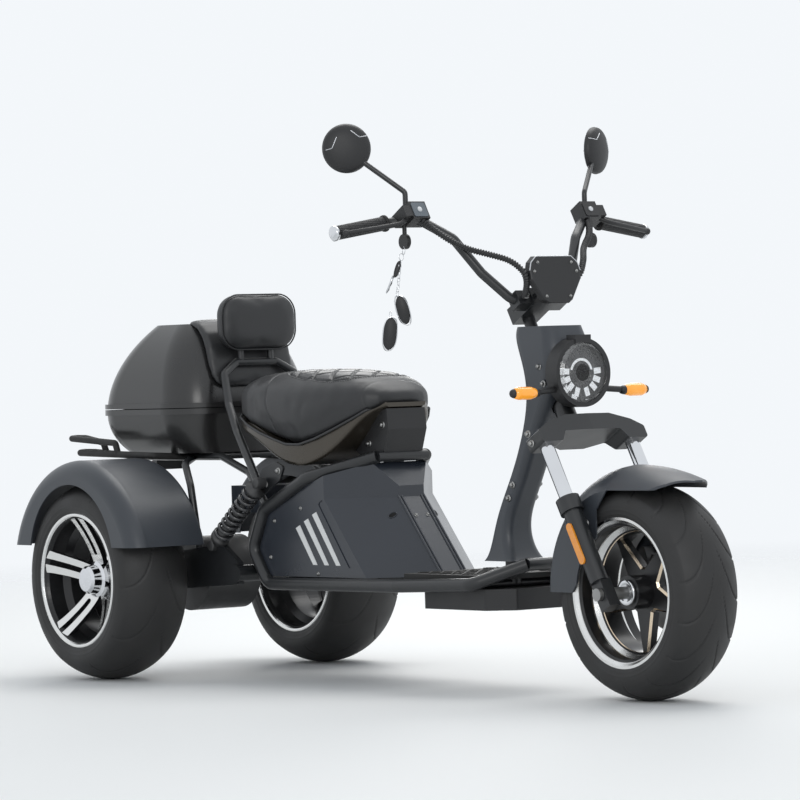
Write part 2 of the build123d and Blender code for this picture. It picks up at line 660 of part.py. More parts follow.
def fender_half_form(wall):
    """Solid of revolution under the fender's skin, drawn in by the wall."""
    crown = rear_fender_r - wall
    side_y = fender_side_y - wall
    low_y = inner_wall_y + wall
    return revolve(make_face([
        Line((120, low_y), (crown - 12, low_y)),
        ThreePointArc((crown - 12, low_y), (crown - 3.5, low_y + 3.5), (crown, low_y + 12)),
        Line((crown, low_y + 12), (crown, round_y)),
        ThreePointArc((crown, round_y), (crown - 11, side_y - 13), (side_r, side_y)),
        Line((side_r, side_y), (120, side_y)),
        Line((120, side_y), (120, low_y)),
    ]), Axis.Y)


fender = fender_half_form(0) - fender_half_form(fender_wall)
fender &= side_slab([(-400, 84), (0, 84), (400, 84), (400, 500), (-400, 500)], -300, 300)
fender -= Pos(0, 0, fender_arch_up) * across(fender_arch_r, fender_side_y - 30, 200)
fender -= across(rear_fender_r - 60, -200, fender_side_y - 12)
for side, name in SIDES:
    place = Pos(rear_axle_x, side * track / 2, rear_tyre_r) * Rot(0, 0, 90 - 90 * side)
    keep("rear_fender_" + name, place * fender)

# Rack under the top box, tied to the side loops and to the axle
rack_z = box_floor_z - 10
stay_r = 9.0
stay_y = track / 2 + inner_wall_y - stay_r - 0.3
rack = Part()
for side in (-1, 1):
    rack += tube([*from_rear([(-220, side * 110, rack_z), (200, side * 110, rack_z), (330, side * 120, 500)]),
                  (front_axle_x - 1226, side * 158, 424)], 9, 30)
    stay = from_rear([
        (60, side * 100, rack_z - 2), (150, side * 186, rack_z - 14), (206, side * stay_y, 470), (236, side * stay_y, 320),
    ])
    rack += tube(stay, stay_r, 26)
for x in (-200, 30, 170):
    rack += Pos(rear_axle_x + x, 0, rack_z) * across(7, -110, 110)
lamp_face_x = rear_axle_x - 214
rack += Pos(lamp_face_x + 16, 0, rack_z - 20) * Box(20, 96, 30)
keep("luggage_rack", rack - main_frame - nodes["swing_arm"])
tail = Pos(lamp_face_x, 0, rack_z - 20) * Box(12, 84, 20)
keep("tail_lamp", fillet(tail.edges().filter_by(Axis.X), 6) - nodes["luggage_rack"])

# Controller housing behind the saddle, carried by the rack's front tubes
housing = plan_slab(from_front(mirrored([(-1284, 132), (-1420, 132)])), controller_low, controller_high, 12.0)
keep("controller_box", housing - nodes["luggage_rack"] - main_frame)

# Top box: (x behind, x ahead, half width, corner, height) of its rounded sections, from the rear axle
tub_rows = [(-176, 168, 160, 70, box_floor_z), (-box_back + 10, box_front - 10, 196, 90, box_floor_z + 56),
            (-box_back, box_front, box_half, box_corner, box_seam_z - seam_gap)]
lid_rows = [(-box_back, box_front, box_half, box_corner, box_seam_z), (-216, 172, 196, 98, box_seam_z + 70),
            (-170, 148, 170, 90, box_seam_z + 140), (-104, 108, 120, 70, box_top_z)]


def box_form(rows, inset, low, high):
    """Rounded loft through the rows, drawn in by the inset and moved at its two ends."""
    sections = []
    for index, (back, ahead, half, corner, z) in enumerate(rows):
        z += low if index == 0 else high if index == len(rows) - 1 else 0
        shape = RectangleRounded(ahead - back - 2 * inset, 2 * (half - inset), corner - inset)
        sections.append(Plane((rear_axle_x + 0.5 * (back + ahead), 0, z)) * shape)
    return loft(sections)


def band(low, high):
    """Raised band round the seam between two heights."""
    long = box_back + box_front + 2 * band_out
    face = Plane((rear_axle_x + 0.5 * (box_front - box_back), 0, low))
    inner_long = long - 2 * (band_out + box_wall)
    ring = face * RectangleRounded(long, 2 * (box_half + band_out), box_corner + band_out)
    hole = face * RectangleRounded(inner_long, 2 * (box_half - box_wall), box_corner - box_wall)
    return extrude(ring - hole, high - low)


hinge_at = Pos(rear_axle_x - box_back - band_out - hinge_r - 1, 0, box_seam_z)
# (low y, high y) of the barrels on the lid and on the tub, on each side
lid_barrels = [(60, 80)]
tub_barrels = [(40, 59.5), (80.5, 100)]


def barrels(rows, lug_low, lug_high):
    """Hinge barrels on both sides, each with a lug that reaches into the band between two heights."""
    out = Part()
    reach = hinge_r + 1 + 0.5 * band_out
    for low, high in rows:
        for y_low, y_high in ((low, high), (-high, -low)):
            lug = Box(reach, y_high - y_low, lug_high - lug_low, align=(Align.MIN, Align.CENTER, Align.MIN))
            out += across(hinge_r, y_low, y_high)
            out += Pos(0, 0.5 * (y_low + y_high), lug_low) * lug
    return out


tub = box_form(tub_rows, 0, 0, 0) + band(box_seam_z - 16, box_seam_z - seam_gap)
tub -= box_form(tub_rows, box_wall, box_wall, 1)
lid = box_form(lid_rows, 0, 0, 0) + band(box_seam_z, box_seam_z + 12)
lid -= box_form(lid_rows, box_wall, -1, -box_wall)
lid += hinge_at * barrels(lid_barrels, 0, hinge_r)
lid -= hinge_at * across(hinge_pin_r + hinge_play, -200, 200)
tub += hinge_at * barrels(tub_barrels, -hinge_r, -seam_gap)
pins = Part()
for y_low, y_high in ((38, 102), (-102, -38)):
    tub -= hinge_at * across(hinge_pin_r, y_low, y_high)
    pins += hinge_at * across(hinge_pin_r, y_low, y_high)
keep("box_tub", tub)
keep("box_lid", lid)
keep("box_hinge_pins", pins)
# (x from the rear axle, height above the seam) of the pad's side outline
pad_rows = [(56, 198), (66, 212), (118, 210), (148, 186), (170, 120), (180, 44), (150, 40)]
pad_side = from_rear([(x, box_seam_z + z) for x, z in pad_rows])
lid_pad = side_slab(pad_side, -132, 132) - box_form(lid_rows, 0, 0, 0)
keep("lid_pad", lid_pad)

# Grab handles beside the box: flat loops, (x from the rear axle, across, up)
grabs = Part()
low_loop = [
    (60, 110, rack_z), (50, 216, rack_z + 6), (-276, 220, rack_z + 14), (-292, 196, rack_z + 15),
    (-272, 176, rack_z + 14), (-180, 110, rack_z + 2),
]
high_loop = [
    (-100, 219, rack_z + 10), (-112, 219, rack_z + 38), (-316, 219, rack_z + 50), (-330, 196, rack_z + 51),
    (-312, 178, rack_z + 50), (-232, 178, rack_z + 38), (-220, 176, rack_z + 12),
]
for side in (-1, 1):
    for loop, radius in ((low_loop, 8.5), (high_loop, 8)):
        grabs += tube([(rear_axle_x + x, side * y, z) for x, y, z in loop], radius, 9.5)
keep("grab_rails", grabs - nodes["luggage_rack"] - tub)

os.makedirs("parts", exist_ok=True)
for name, node in nodes.items():
    export_step(node, "parts/%s.step" % name)
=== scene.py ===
from math import atan2, copysign, cos, pi, radians, sin, sqrt

import bpy
import numpy as np
from mathutils import Euler, Matrix, Vector
from mathutils.bvhtree import BVHTree


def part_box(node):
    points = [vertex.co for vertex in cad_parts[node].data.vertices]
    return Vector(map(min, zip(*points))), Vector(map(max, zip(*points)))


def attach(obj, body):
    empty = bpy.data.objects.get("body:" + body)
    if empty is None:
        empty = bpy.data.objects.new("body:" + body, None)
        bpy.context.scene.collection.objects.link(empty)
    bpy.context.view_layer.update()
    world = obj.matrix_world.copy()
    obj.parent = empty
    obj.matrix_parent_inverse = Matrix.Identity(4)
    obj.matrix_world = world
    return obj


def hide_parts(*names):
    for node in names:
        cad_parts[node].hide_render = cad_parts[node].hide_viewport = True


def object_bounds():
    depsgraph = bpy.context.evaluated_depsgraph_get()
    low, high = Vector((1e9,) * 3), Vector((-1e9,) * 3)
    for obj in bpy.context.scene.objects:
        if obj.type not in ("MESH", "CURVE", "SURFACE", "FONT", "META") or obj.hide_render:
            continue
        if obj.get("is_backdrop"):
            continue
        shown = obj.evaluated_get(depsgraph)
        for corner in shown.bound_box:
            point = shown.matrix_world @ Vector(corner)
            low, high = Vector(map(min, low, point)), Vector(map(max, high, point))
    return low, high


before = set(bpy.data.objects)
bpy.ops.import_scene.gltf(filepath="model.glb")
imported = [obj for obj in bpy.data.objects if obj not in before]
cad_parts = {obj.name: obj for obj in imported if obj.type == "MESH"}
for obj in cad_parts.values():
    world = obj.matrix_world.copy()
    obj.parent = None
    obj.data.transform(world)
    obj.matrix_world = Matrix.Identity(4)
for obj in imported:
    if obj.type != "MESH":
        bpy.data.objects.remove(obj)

cad_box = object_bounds()


# Camera
# The photograph was taken from the scooter's front right at saddle height, through a long lens
# and with the camera tilted a little.
scene = bpy.context.scene
heading, nod, roll = 2.50517, -0.00765, -0.03013
camera = bpy.data.objects.new("photo_camera", bpy.data.cameras.new("photo_camera"))
camera.data.sensor_width = 36.0
camera.data.lens = 189.0
camera.data.clip_end = 200.0
aim = Euler((pi / 2 + nod, 0.0, heading - pi / 2)).to_matrix() @ Matrix.Rotation(roll, 3, "Z")
camera.rotation_euler = aim.to_euler()
camera.location = (7.9418, -5.871, 0.7422)
scene.collection.objects.link(camera)
scene.camera = camera


# Floor and studio
# A plain pale floor that fades out into a white room, one large soft lamp overhead and one at the front right,
# and a dim one at the back that draws the dark edges.
def finish(name, **sockets):
    """A new material with constants on its shader's sockets; gives its node tree and shader too."""
    material = bpy.data.materials.new(name)
    material.use_nodes = True
    shader = material.node_tree.nodes["Principled BSDF"]
    for socket, value in sockets.items():
        shader.inputs[socket.replace("_", " ")].default_value = value
    return material, material.node_tree, shader


def feed(tree, socket, value):
    """Sets a socket to a constant, or links another node's output to it."""
    if isinstance(value, bpy.types.NodeSocket):
        tree.links.new(value, socket)
    else:
        socket.default_value = value


def node(tree, kind, settings=None, **sockets):
    """A new node with its settings, and a constant or an output for each named socket."""
    made = tree.nodes.new(kind)
    for setting, value in (settings or {}).items():
        setattr(made, setting, value)
    for socket, value in sockets.items():
        feed(tree, made.inputs[socket.replace("_", " ")], value)
    return made


def maths(tree, operation, *values):
    """The result of one sum on constants and outputs."""
    made = node(tree, "ShaderNodeMath", {"operation": operation})
    for socket, value in zip(made.inputs, values):
        feed(tree, socket, value)
    return made.outputs["Value"]


def turns(count):
    """The angles of equal steps round a circle."""
    return [2 * pi * k / count for k in range(count)]


def add(name, mesh, material, smooth=True):
    """A new object of a mesh, or of vertices and faces, with its material."""
    if isinstance(mesh, tuple):
        built = bpy.data.meshes.new(name)
        built.from_pydata([tuple(v) for v in mesh[0]], [], [tuple(f) for f in mesh[1]])
        built.update()
        mesh = built
    piece = bpy.data.objects.new(name, mesh)
    scene.collection.objects.link(piece)
    if not mesh.materials:
        mesh.materials.append(material)
    mesh.polygons.foreach_set("use_smooth", [smooth] * len(mesh.polygons))
    return piece


floor_paint, tree, shader = finish("pale_floor", Base_Color=(0.80, 0.80, 0.79, 1), Roughness=0.65)
place = node(tree, "ShaderNodeTexCoord").outputs["Object"]
far = node(tree, "ShaderNodeVectorMath", {"operation": "LENGTH"}, Vector=place).outputs["Value"]
fade = node(tree, "ShaderNodeMapRange", {"interpolation_type": "SMOOTHSTEP"}, Value=far, From_Min=2.6, From_Max=7.5,
            To_Min=1.0, To_Max=0.0)
feed(tree, shader.inputs["Alpha"], fade.outputs["Result"])
floor_radius = 20
floor_edge = [(floor_radius * cos(t), floor_radius * sin(t), 0.0) for t in turns(64)]
floor = add("floor", (floor_edge, [range(64)]), floor_paint)
floor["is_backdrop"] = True

room = bpy.data.worlds.new("white_room")
scene.world = room
room.use_nodes = True
tree = room.node_tree
seen = node(tree, "ShaderNodeLightPath").outputs
mirrored = maths(tree, "MAXIMUM", seen["Is Glossy Ray"], seen["Is Transmission Ray"])
shown = maths(tree, "MAXIMUM", seen["Is Camera Ray"], mirrored)
white = tree.nodes["Background"]
white.inputs["Color"].default_value = (0.90, 0.93, 0.96, 1)
white.inputs["Strength"].default_value = 1.0
light = node(tree, "ShaderNodeBackground", Color=(0.88, 0.94, 1.0, 1), Strength=0.70)
pick = node(tree, "ShaderNodeMixShader", Fac=shown)
feed(tree, pick.inputs[1], light.outputs["Background"])
feed(tree, pick.inputs[2], white.outputs["Background"])
feed(tree, tree.nodes["World Output"].inputs["Surface"], pick.outputs["Shader"])

for name, at, size, power in (
    ("overhead_lamp", (-1.0, 1.6, 4.6), (4.0, 3.0), 110.0),
    ("front_lamp", (5.2, -3.4, 2.6), (2.2, 1.8), 60.0),
    ("back_lamp", (-4.6, 3.6, 2.4), (2.0, 1.6), 40.0),
):
    lamp = bpy.data.lights.new(name, "AREA")
    lamp.shape = "RECTANGLE"
    lamp.size, lamp.size_y = size
    lamp.energy = power
    lamp.color = (1.0, 0.99, 0.97)
    holder = bpy.data.objects.new(name, lamp)
    holder.location = at
    holder.rotation_euler = (Vector((-0.1, 0.0, 0.5)) - Vector(at)).to_track_quat("-Z", "Y").to_euler()
    scene.collection.objects.link(holder)
scene.view_settings.view_transform = "Standard"


# Painted steel and bodywork
# Fenders and neck cover are sprayed a satin graphite, the frame tubes a plain black, the box and side panels
# a glossier black. All of them show a fine orange peel, slight rubbing and a little dust on top.
handling = bpy.data.node_groups.new("handling_marks", "ShaderNodeTree")
for socket, start in (("Patch Size", 0.12), ("Grain Size", 0.002)):
    handling.interface.new_socket(socket, in_out="INPUT", socket_type="NodeSocketFloat").default_value = start
for socket in ("Wear", "Grain", "Dust"):
    handling.interface.new_socket(socket, in_out="OUTPUT", socket_type="NodeSocketFloat")
given, out = node(handling, "NodeGroupInput").outputs, node(handling, "NodeGroupOutput").inputs
place = node(handling, "ShaderNodeTexCoord").outputs["Object"]
wear, grain = (
    node(handling, "ShaderNodeTexNoise", Vector=place, Scale=maths(handling, "DIVIDE", 1.0, given[size]),
         Detail=detail).outputs["Fac"]
    for size, detail in (("Patch Size", 6.0), ("Grain Size", 1.0)))
facing = node(handling, "ShaderNodeNewGeometry").outputs["Normal"]
upward = node(handling, "ShaderNodeSeparateXYZ", Vector=facing).outputs["Z"]
level = node(handling, "ShaderNodeMapRange", Value=upward, From_Min=0.55).outputs["Result"]
feed(handling, out["Wear"], wear)
feed(handling, out["Grain"], grain)
feed(handling, out["Dust"], maths(handling, "MULTIPLY", level, wear))


def blend(tree, share, first, second):
    """A colour that goes from the first to the second as the share grows."""
    mix = node(tree, "ShaderNodeMix", {"data_type": "RGBA"}, Factor=share)
    for socket, colour in (("A", first), ("B", second)):
        feed(tree, mix.inputs[socket], (*colour, 1) if isinstance(colour, tuple) else colour)
    return mix.outputs["Result"]


def worn(name, deep, pale, smooth, rough, patch, grain, relief, dust=0.04, **sockets):
    """A finish whose colour and gloss drift a little over the surface, with a fine grain and dust on top.

    It drifts from the deep tone to the pale one, and from smooth to rough, in patches of a given size. The grain has
    a size and a relief, and dust is the share that settles on level faces; all lengths are in metres.
    """
    material, tree, shader = finish(name, **sockets)
    marks = node(tree, "ShaderNodeGroup", {"node_tree": handling}, Patch_Size=patch, Grain_Size=grain).outputs
    tone = blend(tree, marks["Wear"], deep, pale)
    tone = blend(tree, maths(tree, "MULTIPLY", marks["Dust"], dust), tone, (0.30, 0.29, 0.27))
    gloss = node(tree, "ShaderNodeMapRange", Value=marks["Wear"], From_Min=0.3, From_Max=0.7, To_Min=smooth,
                 To_Max=rough)
    bump = node(tree, "ShaderNodeBump", Height=marks["Grain"], Distance=relief)
    feed(tree, shader.inputs["Base Color"], tone)
    feed(tree, shader.inputs["Roughness"], gloss.outputs["Result"])
    feed(tree, shader.inputs["Normal"], bump.outputs["Normal"])
    return material


def dress(material, *names):
    """The material on every slot of these CAD nodes."""
    for name in names:
        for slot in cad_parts[name].material_slots:
            slot.material = material


graphite = worn("graphite_satin", (0.030, 0.035, 0.043), (0.042, 0.048, 0.058), 0.38, 0.48, 0.16, 0.0016, 0.00003,
                Coat_Weight=0.15, Coat_Roughness=0.35)
dress(graphite, "neck_cover", "front_fender", "rear_fender_right", "rear_fender_left")
frame_black = worn("frame_black", (0.009, 0.010, 0.011), (0.018, 0.019, 0.021), 0.30, 0.42, 0.10, 0.0014, 0.00003,
                   Coat_Weight=0.2, Coat_Roughness=0.25)
dress(frame_black, "main_frame", "backrest_hoop", "swing_arm", "luggage_rack", "fork_yoke", "fork_sliders",
      "bar_clamp", "handlebar", "mirror_arm_right", "mirror_arm_left")
panel_gloss = worn("panel_gloss", (0.016, 0.020, 0.028), (0.024, 0.029, 0.040), 0.26, 0.34, 0.20, 0.0022, 0.00002,
                   Coat_Weight=0.25, Coat_Roughness=0.16)
dress(panel_gloss, "side_panels", "controller_box")
box_gloss = worn("box_gloss", (0.014, 0.014, 0.015), (0.024, 0.023, 0.022), 0.26, 0.34, 0.20, 0.0020, 0.00003,
                 Coat_Weight=0.3, Coat_Roughness=0.18)
dress(box_gloss, "box_tub", "box_lid")
bronze = worn("bronze_trim", (0.050, 0.042, 0.032), (0.075, 0.064, 0.050), 0.26, 0.34, 0.12, 0.0018, 0.00002,
              Metallic=0.55, Coat_Weight=0.3)
dress(bronze, "seat_skirt")
stripe_white = worn("stripe_white", (0.72, 0.72, 0.71), (0.80, 0.80, 0.79), 0.32, 0.42, 0.06, 0.002, 0.00001,
                    dust=0.0)
dress(stripe_white, "side_stripes")


# Moulded plastic and rubber
# Pan, lamp bucket, controls, mirror heads and brackets are black moulded plastic with a fine spark-eroded grain;
# floor mat, grips and the grab handles' covers are soft rubber.
moulded = worn("moulded_black", (0.012, 0.012, 0.013), (0.022, 0.022, 0.023), 0.42, 0.56, 0.08, 0.0007, 0.00005)
dress(moulded, "headlight_bucket", "belly_pan", "battery", "seat_bracket", "signal_stalks", "hand_controls",
      "display", "mirror_head_right", "mirror_head_left", "brake_levers")
rubber = worn("soft_rubber", (0.013, 0.013, 0.013), (0.024, 0.023, 0.022), 0.62, 0.78, 0.06, 0.0011, 0.00010,
              dust=0.10)
dress(rubber, "footboard", "grab_rails")
sleeve_plastic = worn("sleeve_plastic", (0.014, 0.014, 0.015), (0.030, 0.030, 0.031), 0.34, 0.46, 0.03, 0.0008,
                      0.00002)
# near-black painted shade, laid as flat discs over the vent slots in the body box's front faces
vent_painted_shade = worn("vent_painted_shade", (0.003, 0.003, 0.003), (0.006, 0.006, 0.006), 0.8, 0.95, 0.02, 0.001, 0.00002,
                  dust=0.0)
switch_grey = worn("switch_grey", (0.10, 0.12, 0.14), (0.15, 0.17, 0.19), 0.30, 0.42, 0.03, 0.0008, 0.00003,
                   dust=0.02)
button_white = worn("button_white", (0.62, 0.63, 0.64), (0.72, 0.73, 0.74), 0.28, 0.40, 0.02, 0.0006, 0.00002,
                    dust=0.02)
screen_glass = worn("screen_glass", (0.004, 0.005, 0.007), (0.008, 0.009, 0.012), 0.04, 0.09, 0.05, 0.002, 0.00001,
                    dust=0.02, Coat_Weight=1.0, Coat_Roughness=0.03)
grip_rubber, tree, shader = finish("grip_rubber", Base_Color=(0.016, 0.016, 0.017, 1))
place = node(tree, "ShaderNodeTexCoord").outputs["Object"]
drift = node(tree, "ShaderNodeTexNoise", Vector=place, Scale=60.0).outputs["Fac"]
rough = node(tree, "ShaderNodeMapRange", Value=drift, To_Min=0.48, To_Max=0.72)
ribs = [node(tree, "ShaderNodeTexWave", {"bands_direction": way}, Vector=place, Scale=62.0).outputs["Fac"]
        for way in ("Y", "Z")]
bump = node(tree, "ShaderNodeBump", Height=maths(tree, "MAXIMUM", *ribs), Distance=0.0009)
feed(tree, shader.inputs["Roughness"], rough.outputs["Result"])
feed(tree, shader.inputs["Normal"], bump.outputs["Normal"])
dress(grip_rubber, "grips")


# Bare metal
# Stanchions and hub caps are chromed; axles, dampers and calipers are zinc-plated or cast steel.
chrome = worn("chrome", (0.66, 0.67, 0.69), (0.74, 0.75, 0.77), 0.06, 0.14, 0.09, 0.003, 0.00001, dust=0.0,
              Metallic=1.0)
dress(chrome, "fork_stanchions", "rear_cap_right", "rear_cap_left")
steel = worn("plated_steel", (0.24, 0.24, 0.24), (0.40, 0.40, 0.39), 0.30, 0.48, 0.04, 0.0012, 0.00004,
             Metallic=1.0)
dress(steel, "front_axle", "front_disc", "box_hinge_pins")
cast = worn("cast_grey", (0.05, 0.05, 0.052), (0.09, 0.09, 0.09), 0.40, 0.58, 0.05, 0.0015, 0.00012, Metallic=0.6)
dress(cast, "rear_axle", "front_caliper")
silver_trim = worn("silver_trim", (0.50, 0.51, 0.53), (0.62, 0.63, 0.65), 0.18, 0.28, 0.02, 0.001, 0.00001, dust=0.0,
                   Metallic=0.9)
spring_paint = worn("spring_paint", (0.016, 0.016, 0.018), (0.040, 0.040, 0.044), 0.16, 0.26, 0.02, 0.001, 0.00002,
                    Coat_Weight=0.6, Coat_Roughness=0.1)


# Lamps and mirrors
# The headlight has a clear dome over silvered blocks, the signals and fork reflectors are amber, and the mirrors
# are first-surface silvered glass.
clear = finish("lens_clear", Base_Color=(0.98, 0.98, 0.98, 1), Roughness=0.02, IOR=1.49, Transmission_Weight=1.0)[0]
dress(clear, "headlight_lens")
# the front axle's place along the shared frame, in metres
FRONT_AXLE = 0.886
reflector, tree, shader = finish("headlight_reflector", Roughness=0.14)
place = node(tree, "ShaderNodeTexCoord").outputs["Object"]
ahead = node(tree, "ShaderNodeSeparateXYZ", Vector=place).outputs["X"]
proud = maths(tree, "GREATER_THAN", ahead, FRONT_AXLE - 0.2215)
facets = node(tree, "ShaderNodeTexVoronoi", Vector=place, Scale=210.0).outputs["Distance"]
bump = node(tree, "ShaderNodeBump", Height=facets, Distance=0.0006)
feed(tree, shader.inputs["Metallic"], proud)
feed(tree, shader.inputs["Base Color"], blend(tree, proud, (0.015, 0.015, 0.016), (0.86, 0.87, 0.88)))
feed(tree, shader.inputs["Normal"], bump.outputs["Normal"])
dress(reflector, "headlight_unit")
amber = worn("amber_lens", (0.80, 0.24, 0.012), (0.92, 0.36, 0.020), 0.12, 0.20, 0.02, 0.0030, 0.00010, dust=0.0,
             Coat_Weight=0.8, Coat_Roughness=0.06)
dress(amber, "fork_reflectors")
signal = worn("signal_lens", (0.90, 0.30, 0.02), (0.95, 0.42, 0.04), 0.12, 0.20, 0.02, 0.0030, 0.00010, dust=0.0,
              Coat_Weight=0.8, Coat_Roughness=0.06, Emission_Color=(1.0, 0.36, 0.03, 1), Emission_Strength=0.35)
dress(signal, "turn_signals")
red = worn("tail_lens", (0.42, 0.010, 0.010), (0.55, 0.020, 0.016), 0.12, 0.20, 0.02, 0.0030, 0.00010, dust=0.0,
           Coat_Weight=0.8, Coat_Roughness=0.06)
dress(red, "tail_lamp")
glass = worn("mirror_glass", (0.82, 0.84, 0.86), (0.86, 0.88, 0.90), 0.015, 0.03, 0.10, 0.01, 0.000005, dust=0.0,
             Metallic=1.0)
dress(glass, "mirror_glass_left", "mirror_glass_right")


# Tyres
# Tubeless fat tyres, moulded in black rubber. The front one has curved grooves that sweep back from the middle,
# the rear ones a few long curved grooves and a nearly smooth crown.
tyre_rubber = worn("tyre_rubber", (0.014, 0.014, 0.015), (0.026, 0.025, 0.024), 0.50, 0.66, 0.07, 0.0009, 0.00006,
                   dust=0.12)
# the rear axle's place along the frame, the wheels' radii and half of the rear track, in metres
REAR_AXLE = -0.794
FRONT_RADIUS, REAR_RADIUS, HALF_TRACK = 0.2385, 0.246, 0.322
front_hub = (FRONT_AXLE, 0.0, FRONT_RADIUS)
right_hub, left_hub = ((REAR_AXLE, side * HALF_TRACK, REAR_RADIUS) for side in (-1, 1))


def arc(start, middle, end, count):
    """Points along the circle through three points in a plane."""
    (ax, ay), (bx, by), (cx, cy) = start, middle, end
    d = 2 * (ax * (by - cy) + bx * (cy - ay) + cx * (ay - by))
    ux = ((ax**2 + ay**2) * (by - cy) + (bx**2 + by**2) * (cy - ay) + (cx**2 + cy**2) * (ay - by)) / d
    uy = ((ax**2 + ay**2) * (cx - bx) + (bx**2 + by**2) * (ax - cx) + (cx**2 + cy**2) * (bx - ax)) / d
    a0, a1, a2 = (atan2(y - uy, x - ux) for x, y in (start, middle, end))
    turn = (a2 - a0) % (2 * pi)
    if (a1 - a0) % (2 * pi) > turn:
        turn -= 2 * pi
    radius = sqrt((ax - ux)**2 + (ay - uy)**2)
    angles = [a0 + turn * i / count for i in range(count + 1)]
    return [(ux + radius * cos(a), uy + radius * sin(a)) for a in angles]


def tyre_mesh(centre, radius, width, lip_y, pitches, sweep, groove_w, groove_deep):
    """Closed carcass with tread grooves cut in; the pattern repeats in pitches round the tyre."""
    lip_r, half, bead_r = 0.165, width / 2, 0.152
    shoulder_r = radius - 0.15 * width
    side_r = 0.5 * (lip_r + shoulder_r)
    outer = arc((lip_r, -lip_y), (side_r, -half), (shoulder_r, -0.88 * half), 30)[:-1]
    outer += arc((shoulder_r, -0.88 * half), (radius, 0.0), (shoulder_r, 0.88 * half), 64)[:-1]
    outer += arc((shoulder_r, 0.88 * half), (side_r, half), (lip_r, lip_y), 30)
    bead_y = lip_y - 0.006
    inner = [(bead_r, bead_y), (bead_r, bead_y - 0.012)]
    inner += arc((bead_r, bead_y - 0.012), (radius - 0.012, 0.0), (bead_r, -bead_y + 0.012), 16)[1:-1]
    inner += [(bead_r, -bead_y + 0.012), (bead_r, -bead_y)]
    rows = outer + inner
    steps = 560
    r, y = np.array(rows).T
    angle = np.arange(steps) * 2 * pi / steps
    across = np.abs(y) / half
    # each groove runs along the tyre near its middle and turns out to the shoulder, staggered left to right
    bend = sweep * (1 - np.clip(1 - across[None, :], 0, 1)**2.6)
    phase = angle[:, None] * pitches / (2 * pi) + bend + 0.5 * (y[None, :] > 0)
    off = np.abs(phase - np.round(phase)) * 2 * pi * radius / pitches
    deep = np.clip(1 - off / groove_w, 0, 1)
    on_tread = np.zeros(len(rows))
    on_tread[:len(outer)] = 1
    on_tread *= np.clip((across - 0.10) / 0.08, 0, 1) * np.clip((1.0 - across) / 0.06, 0, 1)
    on_tread *= r > shoulder_r - 0.012
    radial = r[None, :] - groove_deep * np.sqrt(deep) * on_tread[None, :]
    # two fine rings on each sidewall, near the rim
    proud = 0.0009 * (np.exp(-((r - lip_r - 0.007) / 0.0011)**2) + np.exp(-((r - lip_r - 0.017) / 0.0013)**2))
    proud[len(outer):] = 0
    y = y + np.sign(y) * proud
    verts = np.stack([
        centre[0] + radial * np.cos(angle)[:, None],
        centre[1] + np.broadcast_to(y, radial.shape),
        centre[2] + radial * np.sin(angle)[:, None],
    ], -1).reshape(-1, 3)
    n = len(rows)
    i, j = np.meshgrid(np.arange(steps), np.arange(n), indexing="ij")
    k, m = (i + 1) % steps, (j + 1) % n
    faces = np.stack([i * n + j, i * n + m, k * n + m, k * n + j], -1).reshape(-1, 4)
    return verts.tolist(), faces.tolist()


front_look, rear_look = (15, 1.7, 0.0034, 0.0034), (10, 1.1, 0.0032, 0.0026)
for name, body, centre, radius, width, lip_y, look in (
    ("front_tyre", "front_wheel", front_hub, FRONT_RADIUS, 0.164, 0.078, front_look),
    ("rear_tyre_right", "rear_right_wheel", right_hub, REAR_RADIUS, 0.198, 0.093, rear_look),
    ("rear_tyre_left", "rear_left_wheel", left_hub, REAR_RADIUS, 0.198, 0.093, rear_look),
):
    tyre = add(name + "_treaded", tyre_mesh(centre, radius, width, lip_y, *look), tyre_rubber)
    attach(tyre, body)
    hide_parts(name)


